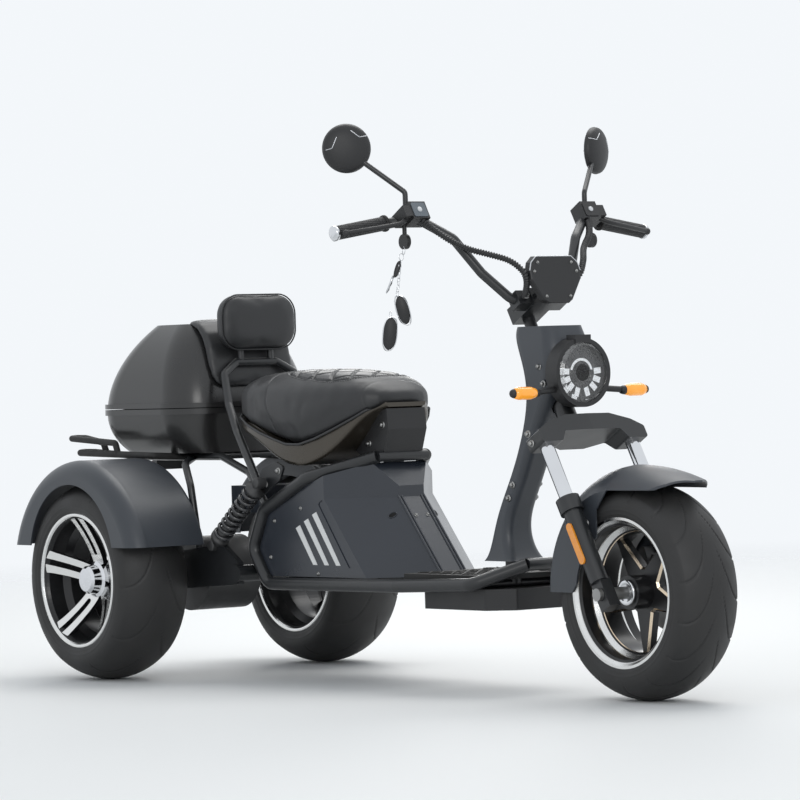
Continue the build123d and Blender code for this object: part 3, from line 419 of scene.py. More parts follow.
# Rims
# Cast alloy rims, painted black, with machined bright lips and spoke edges. The front one keeps the shape of its
# solid.
def rim_finish(name, centre, bright_from, edge_low, edge_high, spokes_to, ledge_y, edge_tone):
    """Black paint in the barrel; bare machined alloy on the lips, the inner ledges and the slanted spoke edges.

    The lip is bare from one radius outward, and spoke edges up to another. An edge counts as slanted where its normal
    leans along the axle by a share between the two limits, and a ledge lies at its distance from the wheel's middle.
    """
    material, tree, shader = finish(name)
    place = node(tree, "ShaderNodeTexCoord").outputs["Object"]
    shifted = node(tree, "ShaderNodeMapping", Vector=place, Location=[-c for c in centre]).outputs["Vector"]
    at = node(tree, "ShaderNodeSeparateXYZ", Vector=shifted).outputs
    flat = node(tree, "ShaderNodeCombineXYZ", X=at["X"], Z=at["Z"]).outputs["Vector"]
    reach = node(tree, "ShaderNodeVectorMath", {"operation": "LENGTH"}, Vector=flat).outputs["Value"]
    normal = node(tree, "ShaderNodeNewGeometry").outputs["Normal"]
    slant = maths(tree, "ABSOLUTE", node(tree, "ShaderNodeSeparateXYZ", Vector=normal).outputs["Y"])
    edge = maths(tree, "MULTIPLY", maths(tree, "GREATER_THAN", slant, edge_low),
                 maths(tree, "LESS_THAN", slant, edge_high))
    star = maths(tree, "MULTIPLY", edge, maths(tree, "LESS_THAN", reach, spokes_to))
    level = maths(tree, "COMPARE", maths(tree, "ABSOLUTE", at["Y"]), ledge_y, 0.0065)
    ledge = maths(tree, "MULTIPLY", level, maths(tree, "GREATER_THAN", reach, 0.1335))
    lip = maths(tree, "GREATER_THAN", reach, bright_from)
    bare = maths(tree, "MAXIMUM", lip, maths(tree, "MAXIMUM", ledge, star))
    # the fine rings that the turning tool leaves
    rings = maths(tree, "SINE", maths(tree, "MULTIPLY", reach, 9000.0))
    bump = node(tree, "ShaderNodeBump", Height=rings, Distance=0.00001)
    bright = blend(tree, star, (0.74, 0.74, 0.73), edge_tone)
    rough = node(tree, "ShaderNodeMapRange", Value=bare, To_Min=0.28, To_Max=0.16)
    feed(tree, shader.inputs["Base Color"], blend(tree, bare, (0.012, 0.012, 0.013), bright))
    feed(tree, shader.inputs["Metallic"], bare)
    feed(tree, shader.inputs["Roughness"], rough.outputs["Result"])
    feed(tree, shader.inputs["Normal"], bump.outputs["Normal"])
    return material


dress(rim_finish("front_rim_machined", front_hub, 0.1515, 0.3, 0.9, 0.1335, 0.0345, (0.80, 0.66, 0.50)), "front_rim")


# Saddle, backrest pad and lid pad
# Moulded foam under stretched black synthetic leather with a pebbled grain, sewn from several panels. The saddle's
# top has a quilted patch of diamonds.
leather, tree, shader = finish("grained_leather", Coat_Weight=0.1, Coat_Roughness=0.4)
place = node(tree, "ShaderNodeTexCoord").outputs["Object"]
pebble = node(tree, "ShaderNodeTexVoronoi", {"feature": "SMOOTH_F1"}, Vector=place, Scale=620.0).outputs["Distance"]
drift = node(tree, "ShaderNodeTexNoise", Vector=place, Scale=14.0, Detail=5.0).outputs["Fac"]
gloss = node(tree, "ShaderNodeMapRange", Value=drift, To_Min=0.36, To_Max=0.50)
bump = node(tree, "ShaderNodeBump", {"invert": True}, Height=pebble, Distance=0.00012)
feed(tree, shader.inputs["Base Color"], blend(tree, drift, (0.014, 0.014, 0.015), (0.026, 0.027, 0.029)))
feed(tree, shader.inputs["Roughness"], gloss.outputs["Result"])
feed(tree, shader.inputs["Normal"], bump.outputs["Normal"])


def swell(value, power):
    """A sine or cosine raised to a power with its sign kept, which makes a circle squarer or rounder."""
    return copysign(abs(value)**power, value)


def bands(rows, count, closed=False):
    """Faces between each ring of points and the next; in a closed form the last ring joins the first."""
    faces = []
    for i in range(rows if closed else rows - 1):
        here, beyond = i * count, (i + 1) % rows * count
        faces += [(here + k, here + (k + 1) % count, beyond + (k + 1) % count, beyond + k) for k in range(count)]
    return faces


def rounds(stations, power, low_power, count=64):
    """Rings of a soft form: (middle, half across, half thick, direction of the thickness) at each station."""
    verts = []
    for middle, wide, thick, up in stations:
        for t in turns(count):
            round_by = 2 / (power if sin(t) >= 0 else low_power)
            across = wide * swell(cos(t), round_by)
            rise = thick * swell(sin(t), round_by)
            verts.append(Vector(middle) + Vector((0, across, 0)) + Vector(up) * rise)
    n = len(stations)
    faces = bands(n, count)
    for row, order in ((0, -1), (n - 1, 1)):
        verts.append(Vector(stations[row][0]))
        tip = len(verts) - 1
        for k in range(count):
            pair = (row * count + k, row * count + (k + 1) % count)
            faces.append((tip, *pair[::-order]))
    return verts, faces


def plumped(name, mesh, voxel, pressure, cap):
    """A closed form remeshed evenly and blown up as foam under a stretched cover; no point moves past the cap."""
    rough = add(name + "_form", mesh, leather)
    even = rough.modifiers.new("even", "REMESH")
    even.mode = "VOXEL"
    even.voxel_size = voxel
    soft = bpy.data.meshes.new_from_object(rough.evaluated_get(bpy.context.evaluated_depsgraph_get()))
    bpy.data.objects.remove(rough)
    piece = add(name, soft, leather)
    start = np.array([v.co for v in soft.vertices])
    air = piece.modifiers.new("air", "CLOTH")
    air.settings.use_pressure = True
    air.settings.uniform_pressure_force = pressure
    air.settings.effector_weights.gravity = 0.0
    for number in range(1, 21):
        scene.frame_set(number)
    blown = bpy.data.meshes.new_from_object(piece.evaluated_get(bpy.context.evaluated_depsgraph_get()))
    end = np.array([v.co for v in blown.vertices])
    piece.modifiers.remove(air)
    bpy.data.meshes.remove(blown)
    scene.frame_set(1)
    move = end - start
    far = np.linalg.norm(move, axis=1, keepdims=True)
    start = start + move * np.minimum(1.0, cap / np.maximum(far, 1e-9))
    soft.vertices.foreach_set("co", start.ravel())
    calm = piece.modifiers.new("calm", "SMOOTH")
    calm.factor = 0.5
    calm.iterations = 12
    divide = piece.modifiers.new("divide", "SUBSURF")
    divide.levels = divide.render_levels = 1
    fine = bpy.data.meshes.new_from_object(piece.evaluated_get(bpy.context.evaluated_depsgraph_get()))
    piece.modifiers.clear()
    piece.data = fine
    fine.polygons.foreach_set("use_smooth", [True] * len(fine.polygons))
    return piece


# (x from the front axle, half width, bottom, top) of the saddle, from the tail to the nose, in millimetres
saddle_rows = [
    (-1394, 62, 660, 700), (-1384, 104, 648, 716), (-1350, 142, 630, 729), (-1300, 158, 612, 736),
    (-1240, 164, 593, 740), (-1180, 165, 577, 741), (-1130, 165, 565, 741), (-1080, 162, 564, 739),
    (-1030, 152, 577, 735), (-980, 137, 597, 729), (-930, 114, 622, 718), (-898, 94, 642, 706),
    (-880, 68, 655, 694), (-870, 34, 666, 684),
]
saddle_hem = [row for row in saddle_rows if row[1] > 90]
stations = [
    ((FRONT_AXLE + x / 1000, 0, (low + high) / 2000), half / 1000, (high - low) / 2000, (0, 0, 1))
    for x, half, low, high in saddle_rows
]
saddle = plumped("saddle", rounds(stations, 2.7, 7.0), 0.0055, 4.0, 0.004)
co = np.array([v.co for v in saddle.data.vertices])
normal = np.array([v.normal for v in saddle.data.vertices])
x, y = co[:, 0] - FRONT_AXLE, co[:, 1]
# the quilted patch: a rounded outline on the top, with diamonds 70 mm across
patch_middle, patch_half, patch_side, patch_taper, diamond = -1.09, 0.145, 0.118, 0.10, 0.070
side_at = patch_side - patch_taper * (x - patch_middle)**2
inside = 1 - np.abs((x - patch_middle) / patch_half)**3.0 - np.abs(y / side_at)**3.0
on_top = np.clip((normal[:, 2] - 0.4) / 0.3, 0, 1)
on_patch = np.clip(inside / 0.12, 0, 1) * on_top
u, v = (x + y) / diamond, (x - y) / diamond
near = np.minimum(np.abs(u - np.round(u)), np.abs(v - np.round(v))) * diamond
channel = np.exp(-(near / 0.0048)**2)
border = np.exp(-(inside / 0.035)**2) * on_top
# two seams that run down its sides, outside the patch
outside = np.clip(-inside / 0.10, 0, 1) * np.clip((normal[:, 2] + 0.7) / 0.3, 0, 1)
rear_seam = np.abs(x + 1.226 - 0.42 * (0.717 - co[:, 2]))
nose_seam = np.abs(x + 0.912 - 0.20 * (0.700 - co[:, 2]))
seam = 0.0018 * np.exp(-(rear_seam / 0.0026)**2) + 0.0008 * np.exp(-(nose_seam / 0.0024)**2)
drop = 0.0048 * channel * on_patch + 0.0035 * border + seam * outside
co -= normal * drop[:, None]
saddle.data.vertices.foreach_set("co", co.ravel())
saddle.data.update()
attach(saddle, "chassis")
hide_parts("seat_cushion")


def oblong(half_wide, half_high, corner, count=96):
    """Points round a rounded rectangle, across and up from its middle."""
    points = []
    for c, s in ((cos(t), sin(t)) for t in turns(count)):
        points.append((copysign(half_wide - corner, c) + corner * c, copysign(half_high - corner, s) + corner * s))
    return points


def slab_rings(centre, wide, high, corner, rows, count=96):
    """A rounded upright pad: (x, inset) rows from its back to its front, each a rounded rectangle."""
    verts = []
    for x, inset in rows:
        edge = oblong(wide / 2 - inset, high / 2 - inset, max(corner - inset, 0.004), count)
        verts += [(centre[0] + x, centre[1] + across, centre[2] + up) for across, up in edge]
    last = (len(rows) - 1) * count
    faces = [(a, d, c, b) for a, b, c, d in bands(len(rows), count)]
    faces += [tuple(range(count)), tuple(range(last, last + count))[::-1]]
    return verts, faces


back_rows = [
    (-0.024, 0.018), (-0.022, 0.008), (-0.016, 0.002), (-0.006, 0.0), (0.006, 0.0), (0.016, 0.002), (0.021, 0.008),
    (0.023, 0.018), (0.024, 0.034),
]
backrest_height = 0.866
back_form = slab_rings((FRONT_AXLE - 1.476, 0, backrest_height), 0.218, 0.134, 0.050, back_rows)
backrest = plumped("backrest", back_form, 0.005, 4.0, 0.003)
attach(backrest, "chassis")
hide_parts("backrest_pad")

# the lid pad follows the lid's sloping front: (x from the rear axle, height, half width, half thickness, slope)
lid_rows = [
    (62, 860, 92, 5, 90), (70, 864, 112, 9, 88), (96, 864, 122, 11, 80), (124, 856, 126, 12, 62),
    (146, 836, 128, 12, 40), (160, 806, 128, 12, 26), (170, 772, 128, 12, 18), (178, 738, 124, 11, 14),
    (183, 716, 112, 9, 12), (185, 706, 92, 5, 12),
]
stations = [
    ((REAR_AXLE + x / 1000, 0, z / 1000), half / 1000, thick / 1000, (cos(radians(tilt)), 0, sin(radians(tilt))))
    for x, z, half, thick, tilt in lid_rows
]
lid_cushion = plumped("lid_cushion", rounds(stations, 3.2, 3.2), 0.0045, 4.0, 0.004)
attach(lid_cushion, "lid")
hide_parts("lid_pad")


# Seams, piping and stitches
# Black cord piping closes the saddle's lower edge and the backrest's front edge, and a double row of thread runs
# beside the quilted patch and along its diamonds.
def grower(name, source, product, **sizes):
    """A new node tree with sockets for its source, sizes and material; gives the tree and what it is given."""
    tree = bpy.data.node_groups.new(name, "GeometryNodeTree")
    tree.is_modifier = True
    tree.interface.new_socket(source, in_out="INPUT", socket_type="NodeSocketGeometry")
    for label, start in sizes.items():
        kind = {float: "NodeSocketFloat", int: "NodeSocketInt", tuple: "NodeSocketVector"}[type(start)]
        tree.interface.new_socket(label.replace("_", " "), in_out="INPUT", socket_type=kind).default_value = start
    tree.interface.new_socket("Finish", in_out="INPUT", socket_type="NodeSocketMaterial")
    tree.interface.new_socket(product, in_out="OUTPUT", socket_type="NodeSocketGeometry")
    return tree, node(tree, "NodeGroupInput").outputs


def turned_out(tree, given, shape):
    """Ends a node tree: the shape as plain geometry in the material that was given."""
    whole = node(tree, "GeometryNodeRealizeInstances", Geometry=shape).outputs["Geometry"]
    paint = node(tree, "GeometryNodeSetMaterial", Geometry=whole, Material=given["Finish"])
    feed(tree, node(tree, "NodeGroupOutput").inputs[0], paint.outputs["Geometry"])
    return tree


def round_run_tree():
    """Node tree: a round bar along a curve, ribbed where a rib height is given."""
    tree, given = grower("round_run", "Line", "Run", Radius=0.003, Rib_Height=0.0, Rib_Pitch=0.006, Step=0.004,
                         Sides=12)
    even = node(tree, "GeometryNodeResampleCurve", {"mode": "LENGTH"}, Curve=given["Line"], Length=given["Step"])
    along = node(tree, "GeometryNodeSplineParameter").outputs["Length"]
    turn = maths(tree, "MULTIPLY", maths(tree, "DIVIDE", along, given["Rib Pitch"]), 2 * pi)
    rib = maths(tree, "MULTIPLY_ADD", maths(tree, "SINE", turn), given["Rib Height"], given["Radius"])
    circle = node(tree, "GeometryNodeCurvePrimitiveCircle", Resolution=given["Sides"], Radius=1.0).outputs["Curve"]
    bar = node(tree, "GeometryNodeCurveToMesh", Curve=even.outputs["Curve"], Profile_Curve=circle, Scale=rib,
               Fill_Caps=True)
    return turned_out(tree, given, bar.outputs["Mesh"])


def line_curve(name, lines, closed=False, smooth=False):
    """A curve of one spline for each line of points."""
    curve = bpy.data.curves.new(name, "CURVE")
    curve.dimensions = "3D"
    for points in lines:
        spline = curve.splines.new("NURBS" if smooth else "POLY")
        spline.points.add(len(points) - 1)
        for point, at in zip(spline.points, points):
            point.co = (*at, 1)
        spline.use_cyclic_u = closed
        if smooth:
            spline.order_u = 3
            spline.use_endpoint_u = True
            spline.resolution_u = 24
    return curve


def grown(name, source, tree, finish_material, body, slot, **sizes):
    """What a node tree makes of a mesh or curve, as a plain mesh that rides on a body."""
    seed = bpy.data.objects.new(name + "_seed", source)
    scene.collection.objects.link(seed)
    modifier = seed.modifiers.new("grow", "NODES")
    modifier.node_group = tree
    given = {"Finish": finish_material, **{key.replace("_", " "): value for key, value in sizes.items()}}
    for socket in tree.interface.items_tree:
        if socket.in_out == "INPUT" and socket.name in given:
            modifier[socket.identifier] = given[socket.name]
    mesh = bpy.data.meshes.new_from_object(seed.evaluated_get(bpy.context.evaluated_depsgraph_get()))
    seed.modifiers.remove(modifier)
    bpy.data.objects.remove(seed)
    piece = add(name, mesh, finish_material)
    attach(piece, body)
    return piece


def set_out(tree, points, shape, axis, way):
    """The shape at every point, with one of its axes turned to a direction."""
    turn = node(tree, "FunctionNodeAlignRotationToVector", {"axis": axis}, Vector=way).outputs["Rotation"]
    each = node(tree, "GeometryNodeInstanceOnPoints", Points=points, Instance=shape, Rotation=turn)
    return each.outputs["Instances"]


def stitch_tree():
    """Node tree: short threads laid end to end along a curve."""
    tree, given = grower("stitches", "Line", "Stitches", Pitch=0.005, Thread_Radius=0.0006, Thread_Length=0.0038)
    along = node(tree, "GeometryNodeCurveToPoints", {"mode": "LENGTH"}, Curve=given["Line"], Length=given["Pitch"])
    bead = node(tree, "GeometryNodeMeshUVSphere", Segments=6, Rings=4, Radius=1.0).outputs["Mesh"]
    half = maths(tree, "MULTIPLY", given["Thread Length"], 0.5)
    stretch = node(tree, "ShaderNodeCombineXYZ", X=given["Thread Radius"], Y=given["Thread Radius"], Z=half)
    thread = node(tree, "GeometryNodeTransform", Geometry=bead, Scale=stretch.outputs["Vector"]).outputs["Geometry"]
    return turned_out(tree, given, set_out(tree, along.outputs["Points"], thread, "Z", along.outputs["Tangent"]))


round_run = round_run_tree()
stitching = stitch_tree()
thread = worn("black_thread", (0.035, 0.036, 0.038), (0.060, 0.062, 0.066), 0.5, 0.7, 0.02, 0.0004, 0.00008, dust=0.0)
top = BVHTree.FromPolygons([v.co for v in saddle.data.vertices], [tuple(p.vertices) for p in saddle.data.polygons])


def on_saddle(points, lift=0.0004):
    """Points (x from the front axle, y) dropped onto the saddle's top."""
    found = []
    for px, py in points:
        at, facing, _, _ = top.ray_cast(Vector((FRONT_AXLE + px, py, 0.9)), Vector((0, 0, -1)))
        if at and facing.z > 0.25:
            found.append(at + facing * lift)
    return found


def patch_edge(scale):
    """The outline of the quilted patch, drawn in or out."""
    points = []
    for k in range(121):
        t = 2 * pi * k / 120
        px = patch_half * scale * swell(cos(t), 2 / 3)
        py = (patch_side - patch_taper * px**2) * scale * swell(sin(t), 2 / 3)
        points.append((px + patch_middle, py))
    return points


sewn = [on_saddle(patch_edge(1.035)), on_saddle(patch_edge(0.955))]
# the thread along the diamonds ends a little inside the patch
sewn_half, sewn_side = 0.138, 0.112
for turn in (1, -1):
    for number in range(-24, -7):
        run = []
        for step in range(81):
            px = -0.18 + 0.36 * step / 80
            py = turn * (number * diamond - (px + patch_middle))
            if abs(px / sewn_half)**3 + abs(py / sewn_side)**3 < 1:
                run.append((px + patch_middle, py))
        run = on_saddle(run, 0.0002)
        if len(run) > 2:
            sewn.append(run)
grown("saddle_stitches", line_curve("saddle_stitch_lines", sewn), stitching, thread, "chassis", "leather",
      Pitch=0.0062, Thread_Radius=0.0007, Thread_Length=0.0046)

hem = [(FRONT_AXLE + x / 1000, half / 1000 - 0.002, low / 1000 + 0.004) for x, half, low, high in saddle_hem]
hem = hem + [(x, -y, z) for x, y, z in reversed(hem)]
grown("saddle_piping", line_curve("saddle_piping_line", [hem], closed=True), round_run, leather, "chassis",
      "leather", Radius=0.0032, Step=0.006, Sides=10)
pad_edge = [(FRONT_AXLE - 1.464, across, backrest_height + up) for across, up in oblong(0.1095, 0.0675, 0.050)]
grown("backrest_piping", line_curve("backrest_piping_line", [pad_edge], closed=True), round_run, leather, "chassis",
      "leather", Radius=0.0019, Step=0.005, Sides=8)


# Bolts and screws
# Zinc-plated hexagon bolts on washers hold the fender, yoke, plates and covers, and smaller ones hold the display
# and the side panels.
def facing_way(tree):
    """The direction that each point carries."""
    carried = node(tree, "GeometryNodeInputNamedAttribute", {"data_type": "FLOAT_VECTOR"}, Name="facing")
    return carried.outputs["Attribute"]


def bolt_tree():
    """Node tree: a six-sided head on a washer at every point, turned to the point's own direction."""
    tree, given = grower("bolts", "Places", "Bolts", Head_Radius=0.005, Head_Height=0.004, Washer_Radius=0.008)
    crown = maths(tree, "MULTIPLY", given["Head Radius"], 0.86)
    head = node(tree, "GeometryNodeMeshCone", Vertices=6, Radius_Top=crown, Radius_Bottom=given["Head Radius"],
                Depth=given["Head Height"])
    washer = node(tree, "GeometryNodeMeshCylinder", Vertices=20, Radius=given["Washer Radius"], Depth=0.0024)
    both = node(tree, "GeometryNodeJoinGeometry")
    for shape in (head, washer):
        feed(tree, both.inputs["Geometry"], shape.outputs["Mesh"])
    return turned_out(tree, given, set_out(tree, given["Places"], both.outputs["Geometry"], "Z", facing_way(tree)))


def places(name, rows):
    """Loose points with a direction each."""
    mesh = bpy.data.meshes.new(name)
    mesh.from_pydata([at for at, way in rows], [], [])
    facing = mesh.attributes.new("facing", "FLOAT_VECTOR", "POINT")
    facing.data.foreach_set("vector", [c for at, way in rows for c in way])
    return mesh


def spots(name, rows):
    """Loose points with a direction each; those beside the middle line are repeated on the other side."""
    return places(name, rows + [((x, -y, z), (i, -j, k)) for (x, y, z), (i, j, k) in rows if y])


def from_axle(x, y, z):
    """Millimetres counted from the front axle, in the shared frame."""
    return (FRONT_AXLE + x / 1000, y / 1000, z / 1000)


def on_fork(a, y, u):
    """Millimetres ahead of the steering axis, across it and up along it, in the shared frame."""
    return from_axle(-31.2 + 0.866 * a - 0.5 * u, y, 220.5 + 0.5 * a + 0.866 * u)


bolts = bolt_tree()
grown("body_bolts", spots("body_bolt_places", [
    (from_axle(-281, -61.6, 736), (0, -1, 0)), (from_axle(-268, -61.3, 697), (0, -1, 0)),
    (from_axle(-436, -38, 440), (0, -1, 0)), (from_axle(-420, -37.8, 470), (0, -1, 0)),
    (from_axle(-1194, -180, 474), (0, -1, 0)), (from_axle(-1140, -180, 506), (0, -1, 0)),
    (from_axle(-940, -56, 566), (0, -1, 0)), (from_axle(-884, -56, 610), (0, -1, 0)),
]), bolts, steel, "chassis", "steel", Head_Radius=0.0052, Head_Height=0.0075, Washer_Radius=0.0080)
grown("panel_screws", spots("panel_screw_places", [
    (from_axle(-1081, -160, 417), (0, -1, 0)), (from_axle(-1210, -160, 299), (0, -1, 0)),
    (from_axle(-1016, -160, 263), (0, -1, 0)), (from_axle(-1190, -160, 386), (0, -1, 0)),
    (from_axle(-910, -17, 504), (0.753, 0, 0.658)), (from_axle(-816, -17, 397), (0.753, 0, 0.658)),
]), bolts, steel, "chassis", "steel", Head_Radius=0.0032, Head_Height=0.0040, Washer_Radius=0.0050)
grown("fork_bolts", spots("fork_bolt_places", [
    (on_fork(24, -150, 386), (0, -1, 0)), (on_fork(24, -150, 410), (0, -1, 0)),
    (from_axle(-92, -92.5, 390), (0, -1, 0)), (from_axle(-74, -92.5, 349), (0, -1, 0)),
    (on_fork(72, -48, 738), (0.866, 0, 0.5)),
]), bolts, steel, "fork", "steel", Head_Radius=0.0058, Head_Height=0.0080, Washer_Radius=0.0085)


# Display
# A shallow black housing stands between the risers on two stays. Its top edge is bright anodised, its rear face
# has a dark glass screen for the rider, and small screws hold its front plate.
def facing_out(verts, faces):
    """The same closed form with its faces pointing out."""
    volume = 0.0
    for f in faces:
        for i in range(1, len(f) - 1):
            volume += verts[f[0]].dot(verts[f[i]].cross(verts[f[i + 1]]))
    return verts, [f[::-1] for f in faces] if volume < 0 else faces


def capped(verts, count):
    """A closed form made of rings of points, with flat ends."""
    faces = bands(len(verts) // count, count)
    faces += [tuple(range(count))[::-1], tuple(range(len(verts) - count, len(verts)))]
    return facing_out(verts, faces)


def plate(rim, depth, way):
    """A closed slab under an outline: its rim points pushed along a direction."""
    return capped([Vector(p) for p in rim] + [Vector(p) + Vector(way) * depth for p in rim], len(rim))


def joined(*shapes):
    """Several closed forms as one mesh."""
    verts, faces = [], []
    for more_verts, more_faces in shapes:
        faces += [tuple(i + len(verts) for i in f) for f in more_faces]
        verts += list(more_verts)
    return verts, faces


display_outline = [
    (-50, 982), (50, 982), (66, 968), (72, 950), (70, 930), (40, 884), (28, 876), (-28, 876), (-40, 884), (-70, 930),
    (-72, 950), (-66, 968),
]
display_middle = 930


def on_display(y, z, back):
    """Millimetres across, up and back from the display's front face, which leans back a little."""
    return from_axle(-286 - back - 0.16 * (z - display_middle), y, z)


shell = []
for back, share in ((0.0, 0.965), (2.0, 1.0), (20.0, 1.0), (26.0, 0.93)):
    shell += [Vector(on_display(y * share, display_middle + (z - display_middle) * share, back))
              for y, z in display_outline]
housing = add("display_housing", capped(shell, len(display_outline)), moulded, smooth=False)
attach(housing, "fork")
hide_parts("display")
stay_lines = [
    [on_fork(60, side * 22, 738), on_fork(96, side * 22, 742), on_display(side * 24, 884, 12),
     on_display(side * 26, 900, 12)]
    for side in (-1, 1)
]
grown("display_stays", line_curve("display_stay_lines", stay_lines, smooth=True), round_run, frame_black, "fork",
      "black_paint", Radius=0.0052, Step=0.004, Sides=12)
facing = (Vector(on_display(0, display_middle, -100)) - Vector(on_display(0, display_middle, 0))).normalized()
grown("display_screws", spots("display_screw_places", [
    (on_display(-48, 968, 0), facing), (on_display(-60, 948, 0), facing), (on_display(-34, 892, 0), facing),
]), bolts, steel, "fork", "steel", Head_Radius=0.0026, Head_Height=0.0036, Washer_Radius=0.0036)
top_edge = [on_display(y, z, 1.5) for y, z in ((-72, 950), (-66, 968), (-50, 982), (50, 982), (66, 968), (72, 950))]
grown("display_edge", line_curve("display_edge_line", [top_edge]), round_run, silver_trim, "fork", "steel",
      Radius=0.0014, Step=0.004, Sides=8)
rim = [on_display(y, z, 25.2) for y, z in (
    (-36, 896), (36, 896), (54, 928), (56, 950), (46, 968), (-46, 968), (-56, 950), (-54, 928))]
screen = add("display_screen", plate(rim, 0.0016, -facing), screen_glass, smooth=False)
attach(screen, "fork")


# Handlebar fittings
# Corrugated sleeves guard the wires from the switch boxes down to the clamp. The grips end in polished caps. Each
# switch box has a pale button, on a grey face on the right and on a black one on the left.
sleeve_line = [
    (-462, 236, 1070), (-432, 222, 1042), (-402, 174, 1006), (-352, 132, 988), (-312, 100, 972), (-292, 70, 930),
    (-342, 50, 892),
]
sleeve_lines = [[from_axle(x, side * y, z) for x, y, z in sleeve_line] for side in (-1, 1)]
sleeves = grown("cable_sleeves", line_curve("sleeve_lines", sleeve_lines, smooth=True), round_run, sleeve_plastic,
                "fork", "rubber", Radius=0.0066, Rib_Height=0.0011, Rib_Pitch=0.0062, Step=0.0007, Sides=16)
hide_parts("cable_conduits")


def square_to(axis):
    """A direction and two more at right angles to it, all of length one."""
    way = Vector(axis).normalized()
    first = way.orthogonal().normalized()
    return way, first, way.cross(first)


def lathe(profile, origin, axis, count=48):
    """A closed turned form: (radius, along) points from one end of the axis to the other."""
    way, first, second = square_to(axis)
    verts = []
    for radius, along in profile:
        middle = Vector(origin) + way * along
        verts += [middle + first * (radius * cos(t)) + second * (radius * sin(t)) for t in turns(count)]
    return capped(verts, count)


grip_root, grip_end = Vector(on_fork(10, 300, 972)), Vector(on_fork(-4, 436, 955))
cap = [(0.0155, 0.142), (0.0170, 0.1425), (0.0174, 0.146), (0.0172, 0.1495), (0.0150, 0.1515), (0.0060, 0.1520)]
collar = [(0.0160, 0.006), (0.0186, 0.007), (0.0190, 0.010), (0.0186, 0.013), (0.0160, 0.014)]
caps, collars = [], []
for side in (-1, 1):
    root, end = (Vector((p.x, side * p.y, p.z)) for p in (grip_root, grip_end))
    caps.append(lathe(cap, root, end - root))
    collars.append(lathe(collar, root, end - root))
end_caps = add("grip_caps", joined(*caps), chrome)
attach(end_caps, "fork")
grip_collars = add("grip_collars", joined(*collars), rubber)
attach(grip_collars, "fork")

lever_lines = [
    [on_fork(44, side * 276, 962), from_axle(-454, side * 292, 1064), from_axle(-462, side * 350, 1055),
     from_axle(-474, side * 400, 1048), from_axle(-484, side * 430, 1044)]
    for side in (-1, 1)
]
levers = grown("brake_lever_blades", line_curve("lever_lines", lever_lines, smooth=True), round_run, moulded, "fork",
               "black_plastic", Radius=0.0056, Step=0.004, Sides=16)
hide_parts("brake_levers")
ball = [
    (0.0012, -0.0084), (0.0044, -0.0072), (0.0072, -0.0044), (0.0084, 0.0), (0.0072, 0.0044), (0.0044, 0.0072),
    (0.0012, 0.0084),
]
ball_forms = [lathe(ball, from_axle(-485, side * 433, 1043.5), (0, 1, 0), 24) for side in (-1, 1)]
balls = add("lever_balls", joined(*ball_forms), moulded)
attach(balls, "fork")

face_out = Vector((0.866, 0, 0.5))
for side, name, face_finish in ((-1, "right", switch_grey), (1, "left", moulded)):
    rim = [on_fork(64.2, side * (246 + y), 972 + u) for y, u in (
        (-19, -15), (-16, -18), (16, -18), (19, -15), (19, 15), (16, 18), (-16, 18), (-19, 15))]
    box_face = add("switch_face_" + name, plate(rim, 0.0016, face_out), face_finish, smooth=False)
    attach(box_face, "fork")
    button_form = lathe([(0.0062, 0.0), (0.0062, 0.0022), (0.0054, 0.0034), (0.0020, 0.0038)],
                        on_fork(64.6, side * 246, 972), face_out, 32)
    button = add("switch_button_" + name, button_form, button_white)
    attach(button, "fork")


# Keys
# A split ring through the right lock holds the key on its black bow, and a short chain two plain fobs with
# bright metal rims.
def ring_at(centre, radius, wire, axis, count=28, sides=8):
    """A round wire ring."""
    way, first, second = square_to(axis)
    verts = []
    for t in turns(count):
        out = first * cos(t) + second * sin(t)
        verts += [Vector(centre) + out * (radius + wire * cos(s)) + way * (wire * sin(s)) for s in turns(sides)]
    return facing_out(verts, bands(count, sides, closed=True))


def fob(top_at, tall, wide, thick, tilt, rim_only):
    """A long rounded fob that hangs from its top, or only the bead round its edge."""
    down = Vector((0.10 * tilt, 0.35 * tilt, -1)).normalized()
    along = Vector((0.55, 0.80, 0)).normalized()
    outward = along.cross(down)
    centre = Vector(top_at) + down * tall / 2
    count, sides, bead, square_by = 40, 8, 0.0016, 0.8
    verts = []
    if rim_only:
        for t in turns(count):
            out = along * swell(cos(t), square_by) + down * swell(sin(t), square_by)
            at = centre + along * (wide / 2 * out.dot(along)) + down * (tall / 2 * out.dot(down))
            for s in turns(sides):
                verts.append(at + out.normalized() * (bead * cos(s)) + outward * ((thick / 2 + 0.0006) * sin(s)))
        return facing_out(verts, bands(count, sides, closed=True))
    for level, share in ((-0.5, 0.90), (-0.35, 0.97), (0.35, 0.97), (0.5, 0.90)):
        for t in turns(count):
            x = wide / 2 * share * swell(cos(t), square_by)
            z = tall / 2 * share * swell(sin(t), square_by)
            verts.append(centre + along * x + down * z + outward * (thick * level))
    return capped(verts, count)


